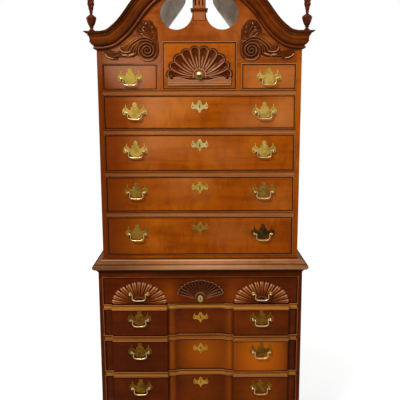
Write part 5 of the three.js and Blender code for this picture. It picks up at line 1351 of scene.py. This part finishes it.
def carvedFront(name, half, row, face, thick, relief, pitch, cavityShade, wood):  # a board under its relief
    gap = drawer["gap"]
    board, fields = carvedBoard(gap - half, half - gap, row[0] + gap, row[1] - gap, face + drawer["inset"],
                                face + thick, relief, pitch=pitch, edge=1.4, cavityShade=cavityShade)
    buildPiece(f"{name}_front_carved", [(board, wood, fields)], body=name,
               stands=[f"{name}_front"], sharp=50)


carvedFront("top_centre_drawer", centreHalf, (topFoot, centreTop), 0, drawer["upperFront"], centreShellRelief,
            0.87, 0.13, "cherryX")
carvedFront("shell_drawer", lowerOpening, shellRow, lowerFace, drawer["lowerFront"], shellDrawerRelief,
            1.15, 0.16, "darkX")
print("shells carved")

# Applied scrolls, as a relief on a cut ground, in mm from the middle of the coil, drawn for the left one and
# mirrored. Strokes are (path, half width, lift, hollow), berries (x, z, radius), lights (path, half width,
# strength). The coil's radii, half widths and lifts go with quarter turns from its start, in degrees.
scroll = {
    "middle": (-233.0, 1918.0), "ground": 3.2, "cell": 1.1, "x": (-196, 56), "z": (-50, 138),
    "outline": [(-190, -9), (-188, -1), (-170, 3), (-144, -3), (-123, 1), (-123, 17), (-122, 29), (-109, 30),
                (-97, 41), (-81, 57), (-61, 71), (-48, 73), (-48, 84), (-42, 100), (-33, 113), (-22, 127),
                (-6, 132), (13, 131), (25, 122), (32, 108), (43, 92), (47, 68), (48, 43), (50, 21), (50, -5),
                (46, -24), (32, -38), (12, -44), (-8, -43), (-28, -33), (-39, -21), (-48, -20), (-58, -26),
                (-72, -29), (-98, -29), (-120, -24), (-130, -29), (-150, -37), (-171, -35), (-185, -25)],
    "strokes": [
        ([(28, 39), (18, 49), (0, 57), (-20, 57), (-39, 51), (-57, 41), (-71, 30), (-82, 17), (-88, 4)],
         4.6, 9.5, 0),
        ([(24, 33), (4, 44), (-16, 45), (-33, 41), (-49, 31), (-62, 20), (-72, 6), (-76, -6)], 4.0, 9.5, 0),
        ([(-34, 33), (-48, 20), (-58, 6), (-62, -8), (-64, -20)], 3.8, 8.0, 0),
        ([(-40, 22), (-48, 7), (-50, -8), (-52, -16)], 3.2, 7.5, 0),
        ([(-30, 66), (-50, 62), (-72, 51), (-90, 37), (-106, 26), (-118, 22)], 11.5, 7.5, 3.2),
        ([(-122, 17), (-121, 6), (-114, -3), (-102, -7), (-88, -7), (-74, -2), (-66, 5)], 3.4, 9.5, 0),
        ([(-92, 20), (-104, 14), (-112, 8), (-104, 2), (-88, 1), (-78, 6)], 6.5, 5.4, 1.6),
        ([(-92, -20), (-104, -20), (-112, -17)], 6.4, 9.0, 0),
        ([(-58, -13), (-68, -17), (-78, -20)], 6.8, 9.5, 0),
        ([(-189, -15), (-182, -24), (-170, -31), (-150, -35), (-132, -32)], 3.0, 8.5, 0),
        ([(-112, -10), (-134, -14), (-156, -16), (-174, -13), (-188, -5)], 9.5, 6.5, 2.6),
        ([(-112, -24), (-130, -24), (-148, -28), (-166, -28)], 4.0, 7.0, 0),
        ([(40, 36), (34, 57), (27, 76), (22, 93), (11, 110), (0, 122)], 8.5, 8.0, 2.6),
        ([(14, 55), (-2, 66), (-16, 79), (-29, 84)], 4.6, 8.5, 0),
        ([(6, 62), (-10, 84), (-22, 98), (-32, 104)], 5.6, 8.5, 2.2),
        ([(10, 78), (-3, 98), (-10, 112), (-13, 122)], 5.8, 8.5, 2.2),
        ([(30, 58), (39, 76), (39, 92), (31, 108)], 6.2, 7.5, 2.2),
        ([(13, 100), (13, 116), (4, 127)], 7.5, 7.5, 2.0), ([(-4, 74), (-17, 71), (-28, 72)], 3.6, 7.5, 0),
        ([(46, 42), (48, 20), (48, -6), (43, -22), (31, -35)], 3.2, 6.5, 0),
    ],
    "berries": [(-4, 115, 4.2), (-14, 100, 3.6), (24, 100, 3.7), (28, 78, 3.7), (28, 51, 3.4), (40, 31, 3.2),
                (-25, 73, 3.2)],
    "lights": [([(-34, -28), (-22, -39), (-4, -44), (14, -43), (28, -38)], 4.5, 0.7),
               ([(-122, 16), (-121, 6), (-114, -3), (-102, -7), (-88, -7), (-76, -3)], 2.6, 0.6),
               ([(-188, -15), (-181, -24), (-169, -31), (-152, -34)], 2.8, 0.8),
               ([(-112, -19), (-96, -20), (-84, -22), (-70, -18), (-58, -14)], 4.6, 0.5),
               ([(-27, 76), (-16, 66), (-8, 60)], 2.6, 0.7), ([(-16, 64), (0, 56), (14, 47)], 2.2, 0.35),
               ([(-4, 115), (-4, 118)], 4.0, 0.9), ([(-14, 99), (-14, 102)], 3.6, 0.7),
               ([(28, 77), (28, 80)], 3.6, 0.5), ([(24, 99), (24, 102)], 3.6, 0.6),
               ([(-20, 92), (-13, 84)], 2.4, 0.5), ([(28, 50), (29, 53)], 3.4, 0.5)],
    "coil": ([0, 0.7, 1.7, 2.7, 3.7, 4.7, 5.7, 6.7, 7.7, 8.7, 9.7, 10.7, 11.7, 12.7],
             [51, 45, 41, 38.5, 31.5, 29, 25.5, 22, 18.5, 16, 13, 10, 6.5, 3]),
    "coilHalf": ([0, 4, 13], [5.6, 4.4, 2.4]), "coilLift": ([0, 1, 13], [8.0, 9.5, 12.0]),
    "coilStart": 66, "coilEnd": 12.7, "berryLift": 13.5,
}


def fromLine(x, z, start, end):  # how far places are from a straight line, and the share of the way along it
    step = end - start
    share = np.clip(((x - start[0]) * step[0] + (z - start[1]) * step[1]) / (step @ step), 0, 1)
    return np.hypot(x - start[0] - share * step[0], z - start[1] - share * step[1]), share


def stroke(x, z, path, half, lift, hollow):  # a rounded or gouged ridge, by the distance to a smooth path
    line = splined(path, 5)
    nearest, along = np.full_like(x, 1e9), np.zeros_like(x)
    for k, (start, end) in enumerate(zip(line, line[1:])):
        away, share = fromLine(x, z, start, end)
        along = np.where(away < nearest, (k + share) / (len(line) - 1), along)
        nearest = np.minimum(away, nearest)
    width = half * (0.45 + 0.55 * np.sin(math.pi * np.clip(along * 0.8 + 0.12, 0, 1)) ** 0.7)
    r = nearest / width
    return lift * dome(r, 0.4) - hollow * dome(r / 0.72, 0.7) * (r < 1)


def coil(x, z):  # a rounded band whose radius falls as it turns
    radius, bearing, start = np.hypot(x, z), np.arctan2(z, x), math.radians(scroll["coilStart"])
    height = np.zeros_like(x)
    for lap in range(4):
        turn = ((start - bearing) % (2 * math.pi) + lap * 2 * math.pi) / (math.pi / 2)
        away = (radius - np.interp(turn, *scroll["coil"])) / np.interp(turn, *scroll["coilHalf"])
        lift = np.interp(turn, *scroll["coilLift"]) * (turn < scroll["coilEnd"])
        height = np.maximum(height, lift * dome(away, 0.45))
    return height


def smoothLoop(points):  # a closed curve through points
    return splined(points + points[:1], 3)[:-1]


def insideOf(x, z, outline):  # whether places lie inside an outline, and how far they are from it
    inside, nearest = np.zeros(x.shape, bool), np.full_like(x, 1e9)
    for start, end in zip(outline, np.roll(outline, -1, axis=0)):
        crosses = (start[1] > z) != (end[1] > z)
        rise = end[1] - start[1]
        inside ^= crosses & (x < start[0] + (z - start[1]) * (end[0] - start[0]) / (rise if rise else 1e-9))
        nearest = np.minimum(nearest, fromLine(x, z, start, end)[0])
    return inside, nearest


def reliefPatch(xs, zs, height, rear, least=0.3):  # a closed carving: cells of a grid where it stands proud
    columns, rows = height.shape
    proud = height > least
    cells = proud[:-1, :-1] | proud[1:, :-1] | proud[:-1, 1:] | proud[1:, 1:]
    count = columns * rows
    numbers = np.arange(count).reshape(columns, rows)
    i, j = np.nonzero(cells)
    quads = np.stack([numbers[i, j], numbers[i + 1, j], numbers[i + 1, j + 1], numbers[i, j + 1]], axis=1)
    walls, padded = [], np.pad(cells, 1)
    for di, dj, a, b in ((-1, 0, (0, 1), (0, 0)), (1, 0, (1, 0), (1, 1)), (0, -1, (0, 0), (1, 0)),
                         (0, 1, (1, 1), (0, 1))):
        bare = ~padded[i + 1 + di, j + 1 + dj]
        first, second = (numbers[i[bare] + c[0], j[bare] + c[1]] for c in (a, b))
        walls.append(np.stack([second, first, first + count, second + count], axis=1))
    x, z = np.meshgrid(xs, zs, indexing="ij")
    front = np.stack([x, -np.maximum(height, 0.35), z], axis=2).reshape(-1, 3)
    back = front.copy()
    back[:, 1] = rear
    used = np.unique(np.concatenate([quads.ravel(), quads.ravel() + count]))
    renumber = np.zeros(2 * count, int)
    renumber[used] = np.arange(len(used))
    faces = [renumber[quads], renumber[(quads + count)[:, ::-1]], renumber[np.concatenate(walls)]]
    return outward(np.concatenate([front, back])[used], faces), used


def scrolls():  # the highest of ground, strokes, coil and berries at each place
    xs, zs = np.arange(*scroll["x"], scroll["cell"]), np.arange(*scroll["z"], scroll["cell"])
    x, z = np.meshgrid(xs, zs, indexing="ij")
    inside, away = insideOf(x, z, smoothLoop(scroll["outline"]))
    height = np.where(inside, scroll["ground"] * np.clip(away / 1.4, 0, 1) ** 0.5, 0)
    for drawn in scroll["strokes"]:
        height = np.maximum(height, stroke(x, z, *drawn))
    height = np.maximum(height, coil(x, z))
    for atX, atZ, radius in scroll["berries"]:
        height = np.maximum(height, scroll["berryLift"] * dome(np.hypot(x - atX, z - atZ) / radius))
    # painted shade in the hollows, painted highlight on the ridges and along the lights, and the ground a
    # little darker
    deep, wearAndHighlight = hollows(height, 0.3)
    ground = np.clip(1 - (height - scroll["ground"]) / 1.5, 0, 1)
    shine = np.clip(wearAndHighlight * 0.6 - 0.1, 0, 0.16) * (1 - ground)
    for path, half, strength in scroll["lights"]:
        shine = np.maximum(shine, strength * np.clip(stroke(x, z, path, half, 1, 0) * 1.6 - 0.5, 0, 1))
    golden = hill(x, -70, 45) * hill(z, 40, 26) - 0.45 * ramp(z, 60, 90) - 0.35 * ramp(x, -95, -130)
    shape, used = reliefPatch(xs + scroll["middle"][0], zs + scroll["middle"][1], height, -case["seam"])
    fields = {"deep": deep + 0.1 * ground, "glow": golden * 0.7 - 0.2 * ground, "shine": shine}
    fields = {label: np.concatenate([values.ravel()] * 2)[used] for label, values in fields.items()}
    for side, carving in (("left", shape), ("right", mirrored(shape))):
        buildPiece(f"carved_scroll_{side}_leaves", [(carving, "carvedX", fields)],
                   stands=[f"carved_scroll_{side}"], sharp=60)


scrolls()
print("scrolls carved")

# Brasses: pierced plates cut from a flat curve, turned posts, swinging bails. Keyhole plates are drawn in
# shares of their width.
plates = {
    "handle": [(0, 47.5), (2.5, 46.2), (5.5, 44.8), (8, 42.6), (9.8, 38.6), (10, 34), (9.6, 29.8),
               (11, 26.8), (14.5, 25), (18.5, 22.8), (17.6, 19.5), (16.8, 16.8), (19.5, 14), (22.8, 12),
               (26.5, 13.4), (29.5, 16.6), (32, 19.2), (36.5, 21.8), (38.2, 25), (37.6, 30), (38, 34),
               (40.5, 37), (42.3, 33.5), (42.6, 28), (44, 23.8), (47.5, 19.8), (52, 16), (54.8, 10),
               (55.6, 3), (55, -3.5), (51.5, -8.2), (46, -10.6), (40.5, -9.5), (36.5, -5.5), (33, -3.5),
               (30.2, -6), (27, -11), (23.5, -17), (19, -21.6), (13, -24.8), (6.5, -26.4), (0, -27)],
    "handleHoles": [[(47, -6), (51, -4), (52, 1), (49.5, 3), (47, -0.5)],
                    [(40.5, 13), (43.5, 12.5), (45.5, 16), (43.5, 19), (41, 17)],
                    [(-3, 33.5), (0, 31.5), (3, 33.5), (0, 38.5)]],
    "key": [(0, 0.46), (0.045, 0.44), (0.09, 0.39), (0.092, 0.35), (0.085, 0.315), (0.115, 0.275),
            (0.145, 0.235), (0.155, 0.17), (0.19, 0.135), (0.26, 0.14), (0.31, 0.17), (0.34, 0.215),
            (0.35, 0.28), (0.375, 0.345), (0.4, 0.32), (0.41, 0.26), (0.435, 0.18), (0.465, 0.1),
            (0.475, 0.02), (0.465, -0.07), (0.43, -0.14), (0.37, -0.185), (0.31, -0.165), (0.25, -0.14),
            (0.2, -0.175), (0.15, -0.215), (0.095, -0.26), (0.07, -0.32), (0.055, -0.38), (0.03, -0.44),
            (0, -0.465)],
    "keyHoles": [[(0.36, -0.03), (0.41, -0.03), (0.44, 0.05), (0.4, 0.1), (0.36, 0.05)]],
    "keyhole": [(1.8, 2.2), (2.9, 4.6), (2.2, 7.0), (0, 8.0), (-2.2, 7.0), (-2.9, 4.6), (-1.8, 2.2),
                (-2.6, -6.4), (2.6, -6.4)],
    "thick": 1.5, "round": 0.45, "upperKey": 81, "lowerKey": 76, "keyShare": 0.75,
    "oval": (12.5, 17.5), "ovalThick": 1.6, "ovalRound": 0.6, "ovalUp": 24, "ovalKeyhole": 0.8,
}
keyhole = np.array(plates["keyhole"])


# A flat plate with holes and softened edges, as points and faces
def fromCurve(loops, thick=plates["thick"], soft=plates["round"]):
    data = bpy.data.curves.new("cut", "CURVE")
    data.dimensions, data.fill_mode = "2D", "BOTH"
    data.extrude, data.bevel_depth, data.offset, data.bevel_resolution = thick / 2 - soft, soft, -soft, 1
    for loop in loops:
        spline = data.splines.new("POLY")
        spline.points.add(len(loop) - 1)
        spline.points.foreach_set("co", np.pad(np.asarray(loop, float), ((0, 0), (0, 2))).ravel())
        spline.use_cyclic_u = True
    holder = bpy.data.objects.new("cut", data)
    scene.collection.objects.link(holder)
    mesh = bpy.data.meshes.new_from_object(holder.evaluated_get(bpy.context.evaluated_depsgraph_get()))
    points = np.zeros(len(mesh.vertices) * 3)
    mesh.vertices.foreach_get("co", points)
    sizes = {}
    for polygon in mesh.polygons:
        sizes.setdefault(len(polygon.vertices), []).append(tuple(polygon.vertices))
    bpy.data.objects.remove(holder)
    bpy.data.curves.remove(data)
    bpy.data.meshes.remove(mesh)
    points = points.reshape(-1, 3)[:, [0, 2, 1]] * (1, -1, 1)
    return outward(*welded(points, [np.array(f) for f in sizes.values()]))


def welded(points, faces):  # points nearer than a hundredth of a millimetre become one
    keys, inverse = np.unique(np.round(points, 2), axis=0, return_inverse=True)
    inverse = inverse.ravel()
    merged = np.zeros((len(keys), 3))
    merged[inverse] = points
    renumbered = [inverse[f] for f in faces]
    kept = [g[(g != np.roll(g, -1, axis=1)).all(axis=1)] for g in renumbered]
    return merged, [f for f in kept if len(f)]


def bothSides(right):  # a loop from its right half, which starts and ends in the middle
    return np.concatenate([right, right[1:-1][::-1] * (-1, 1)])


def pierced(outline, holes, scale=(1.0, 1.0)):  # loops of a plate: its outline and each hole at both sides
    loops = [bothSides(splined(outline, 3) * scale)]
    for hole in holes:
        loops += [smoothLoop(hole) * scale, smoothLoop(hole) * scale * (-1, 1)]
    return loops


def keyPlateShape(width):  # pierced, with a keyhole in the middle
    loops = pierced(plates["key"], plates["keyHoles"], (width, width * plates["keyShare"]))
    return fromCurve(loops + [keyhole])


def moved(shape, x, y, z):  # the shape with its origin at a place
    return shape[0] + (x, y, z), shape[1]


handleShape = fromCurve(pierced(plates["handle"], plates["handleHoles"]))
upperKeyShape, lowerKeyShape = keyPlateShape(plates["upperKey"]), keyPlateShape(plates["lowerKey"])
ovalShape = fromCurve([arc(0, 0, 1, 0, 360 * 31 / 32, 32) * plates["oval"], keyhole * plates["ovalKeyhole"]],
                      plates["ovalThick"], plates["ovalRound"])
sleeve = prism(keyhole, 1, -0.15, 0.6)
ovalSleeve = (sleeve[0] * plates["ovalKeyhole"], sleeve[1])

# Turned profiles are (radius, out of the face), and the bail's path is its right half
post = [(0.0, 0.0), (4.9, 0.0), (5.0, -1.0), (3.9, -2.0), (3.3, -3.4), (3.2, -6.8), (4.0, -8.4), (4.9, -10.4),
        (5.0, -13.6), (4.4, -16.6), (3.0, -18.3), (1.2, -18.9), (0.0, -19.0)]
rose = [(0.0, 0.6), (8.5, 0.6), (8.5, -0.7), (7.9, -1.5), (6.6, -1.7), (5.9, -2.4), (0.0, -2.5)]
knob = [(0.0, 3.0), (17.5, 3.0), (17.5, -0.2), (16.2, -1.4), (11.0, -2.0), (7.0, -2.6), (5.4, -5.0),
        (5.0, -8.0), (8.6, -10.0), (13.2, -12.2), (15.2, -15.0), (14.2, -18.0), (10.0, -20.4), (4.6, -21.5),
        (0.0, -21.7)]
bailPath = [(36.4, 0), (33.5, 1.6), (30.6, -1.2), (29.8, -7), (31.2, -12.5), (31.4, -17.5), (29.2, -23),
            (24.5, -27), (17, -29.2), (8, -29.8), (0, -29.8)]


def lathed(profile, sides, x, ground, z):  # a profile turned round an axis that points out of the face
    profile = np.array(profile, float)
    profile[0, 0] = profile[-1, 0] = 0.02
    return turned(profile, sides, (x, ground, z), 1)


def bailShape(x, y, z):  # a wire that swells into a grip between two rings
    right = splined(bailPath, 5)
    line = np.concatenate([right, right[:-1][::-1] * (-1, 1)])
    side, low = np.abs(line[:, 0]), line[:, 1] < bailPath[-1][1] * 0.9
    swell = np.where(low, dome(side / handle["gripHalf"]), 0)
    rings = np.where(low, handle["ringProud"] * hill(side, handle["ringX"], handle["ringHalf"]), 0)
    radii = handle["wire"] + (handle["grip"] - handle["wire"]) * swell + rings
    radii[0] = radii[-1] = handle["wireEnd"]
    return tube(np.stack([line[:, 0] + x, np.full(len(line), float(y)), line[:, 1] + z], axis=1), radii)


# Two posts on a plate, or each on a rose, and a bail between them
def addHandle(drawerName, bail, x, z, ground, look, side="", plated=True):
    posts = [x - handle["postsApart"] / 2, x + handle["postsApart"] / 2]
    parts = [(lathed(splined(post, 4), 24, at, ground, z), "bailBrass") for at in posts]
    if plated:
        parts.insert(0, (moved(handleShape, x, ground - plates["thick"] / 2, z), look))
    else:
        parts = [(lathed(rose, 24, at, ground, z), look) for at in posts] + parts
    label = f"{drawerName}{side}"
    end = "plate" if plated else "roses"
    buildPiece(f"{label}_{end}", parts, body=drawerName, sharp=20)
    buildPiece(f"{label}_bail_wire", [(bailShape(x, ground - handle["out"], z), "bailBrass")],
               body=f"{bail}{side}_bail", stands=[f"{label}_bail"], sharp=50)


def addPair(drawerName, bail, x, z, ground, leftLook, rightLook, plated=True):  # one handle at each side
    addHandle(drawerName, bail, -x, z, ground, leftLook, "_left", plated)
    addHandle(drawerName, bail, x, z, ground, rightLook, "_right", plated)


def addKeyPlate(drawerName, shape, z, ground, look):  # a plate on its ground, and a dark sleeve in the keyhole as painted shade for the hole
    middle = ground - plates["thick"] / 2
    parts = [(moved(shape, 0, middle, z), look), (moved(sleeve, 0, ground, z), "keyhole")]
    buildPiece(f"{drawerName}_keyhole_plate", parts, body=drawerName, sharp=20)


upperGround, lowerGround = drawer["inset"], lowerFace + drawer["inset"]
# Looks of the left, right and keyhole plate, from the lowest long drawer up, each as bright or dark as the
# light and reflections are painted on it
longLooks = [("mellowBrass", "darkBrass", "mellowBrass"), ("mellowBrass", "mellowBrass", "brass"),
             ("brass", "brass", "paleBrass"), ("brass", "brass", "paleBrass")]
for i, (row, (left, right, key)) in enumerate(zip(upperRows, longLooks)):
    number = 4 - i
    addPair(f"upper_drawer_{number}", f"upper_{number}", upperHandle, row[0] + handle["longPosts"][i],
            upperGround, left, right)
    addKeyPlate(f"upper_drawer_{number}", upperKeyShape, row[0] + handle["longKeys"][i], upperGround, key)
for side, x, look in (("left", -smallMiddle, "clearBrass"), ("right", smallMiddle, "brass")):
    addHandle(f"top_{side}_drawer", f"top_{side}", x, topFoot + handle["smallPost"], upperGround, look)
for i, row in enumerate(lowerRows[:-1]):
    number = 3 - i
    # the block drawers' plates take a darker copy, as painted shade
    addPair(f"block_drawer_{number}", f"block_{number}", lowerHandle, row[0] + handle["blockPosts"][i],
            lowerGround - case["blockProud"], "agedBrass", "agedBrass")
    addKeyPlate(f"block_drawer_{number}", lowerKeyShape, row[0] + handle["blockKeys"][i],
                lowerGround + case["recessDepth"], "goldBrass")
addPair("shell_drawer", "shell", lowerHandle, shellRow[0] + handle["shellPost"],
        lowerFace - sideShell["proud"], "brass", "brass", plated=False)
ovalZ = shellRow[0] + plates["ovalUp"]
# its dark sleeve is painted shade for the keyhole
buildPiece("shell_drawer_oval_plate", [(moved(ovalShape, 0, lowerFace - 0.8, ovalZ), "paleBrass"),
                                       (moved(ovalSleeve, 0, lowerFace - 0.1, ovalZ), "keyhole")],
           body="shell_drawer", sharp=40)


def knobPiece():  # its ball shows a painted patch and rim of light and painted shade below, and the rest is darker
    hub, ground = topFoot + centreShell["hub"], -centreShell["knobSeat"]
    shape = lathed(np.concatenate([knob[:4], splined(knob[4:], 4)]), 40, 0, ground, hub)
    across, up, out = shape[0][:, 0], shape[0][:, 2] - hub, ground - shape[0][:, 1]
    onBall = out > centreShell["knobBall"]
    patch = 1.2 * np.exp(-(across / 5.5) ** 4 - ((up - 6.5) / 4.0) ** 4)
    glow = np.where(onBall, patch + 0.55 * hill(np.hypot(across, up), 13.6, 1.5) * (up < -1), 0)
    deep = np.where(onBall, 0.9 * ramp(up, 4, -1) + 0.25, 0.8) * (1 - np.clip(glow, 0, 1))
    buildPiece("top_centre_drawer_knob", [(shape, "brass", {"deep": deep, "glow": glow})],
               body="top_centre_drawer", sharp=40)


knobPiece()
print("brasses made")

# Floor, backdrop and lights. Polished wood and brass show the white room at part of its strength.
studio = {"world": 0.2, "mirrored": 0.12, "floor": 0.42, "floorNear": 0.62, "floorFar": 0.92,
          "nearEnd": 0.8, "farStart": 4.2, "half": 6}
lamps = {  # place, target, width and height, watts
    "key": ((-1.4, -2.6, 3.8), (0, 0, 1.2), (0.9, 0.9), 128),
    "fill": ((2.4, -2.6, 1.3), (0, 0, 1.0), (1.6, 2.0), 16),
    "top": ((0.2, -0.9, 4.4), (0, 0, 1.6), (1.8, 1.4), 26),
    "left": ((-3.4, 0.5, 1.9), (0, 0.3, 1.2), (1.4, 1.8), 34),
    "right": ((3.4, 0.5, 1.9), (0, 0.3, 1.2), (1.4, 1.8), 42),
    "back": ((0.6, 3.6, 2.8), (0, 0, 1.2), (1.8, 1.8), 70),
}


def grey(value):  # the same value in each channel
    return (value, value, value, 1.0)


scene.view_settings.view_transform = "Standard"
room = Look("studio", bpy.data.worlds)
scene.world = room.owner
room.tree.nodes.clear()
inMirror = room.ray("Glossy").maths("MAXIMUM", room.ray("Transmission")) * studio["mirrored"]
light = room.node("ShaderNodeBackground", {}, {"Color": grey(1.0), "Strength": studio["world"]})
white = room.node("ShaderNodeBackground", {}, {"Color": grey(1.0)})
seen = room.ray("Camera").maths("MAXIMUM", inMirror)
room.join(room.tree.nodes.new("ShaderNodeOutputWorld").inputs[0],
          room.node("ShaderNodeMixShader", {}, (seen, light, white)))

for name, (place, target, size, watts) in lamps.items():
    data = bpy.data.lights.new(name, "AREA")
    data.shape, data.size, data.size_y, data.energy = "RECTANGLE", size[0], size[1], watts
    lamp = bpy.data.objects.new(name, data)
    scene.collection.objects.link(lamp)
    x, y, z = np.subtract(place, target)
    lamp.location = place
    lamp.rotation_euler = (math.atan2(math.hypot(x, y), z), 0, math.atan2(x, -y))
    lamp.visible_glossy = name != "back"

reach = studio["half"]
floorMesh = bpy.data.meshes.new("floor")
floorMesh.from_pydata([(-reach, -reach, 0), (reach, -reach, 0), (reach, reach, 0), (-reach, reach, 0)], [],
                      [(0, 1, 2, 3)])
floor = bpy.data.objects.new("floor", floorMesh)
scene.collection.objects.link(floor)
floorLook = Look("floor")
floorLook.feed("Base Color", grey(studio["floor"]))
floorLook.feed("Roughness", 0.9)
away = floorLook.node("ShaderNodeVectorMath", {"operation": "LENGTH"}, (floorLook.where(),), "Value")
paler = away.between(studio["nearEnd"], studio["farStart"])
floorLook.feed("Emission Color", floorLook.blend(paler, grey(studio["floorNear"]), grey(studio["floorFar"])))
floorLook.feed("Emission Strength", floorLook.ray("Camera") + floorLook.ray("Glossy") * studio["mirrored"])
floorMesh.materials.append(floorLook.owner)
print("studio made")
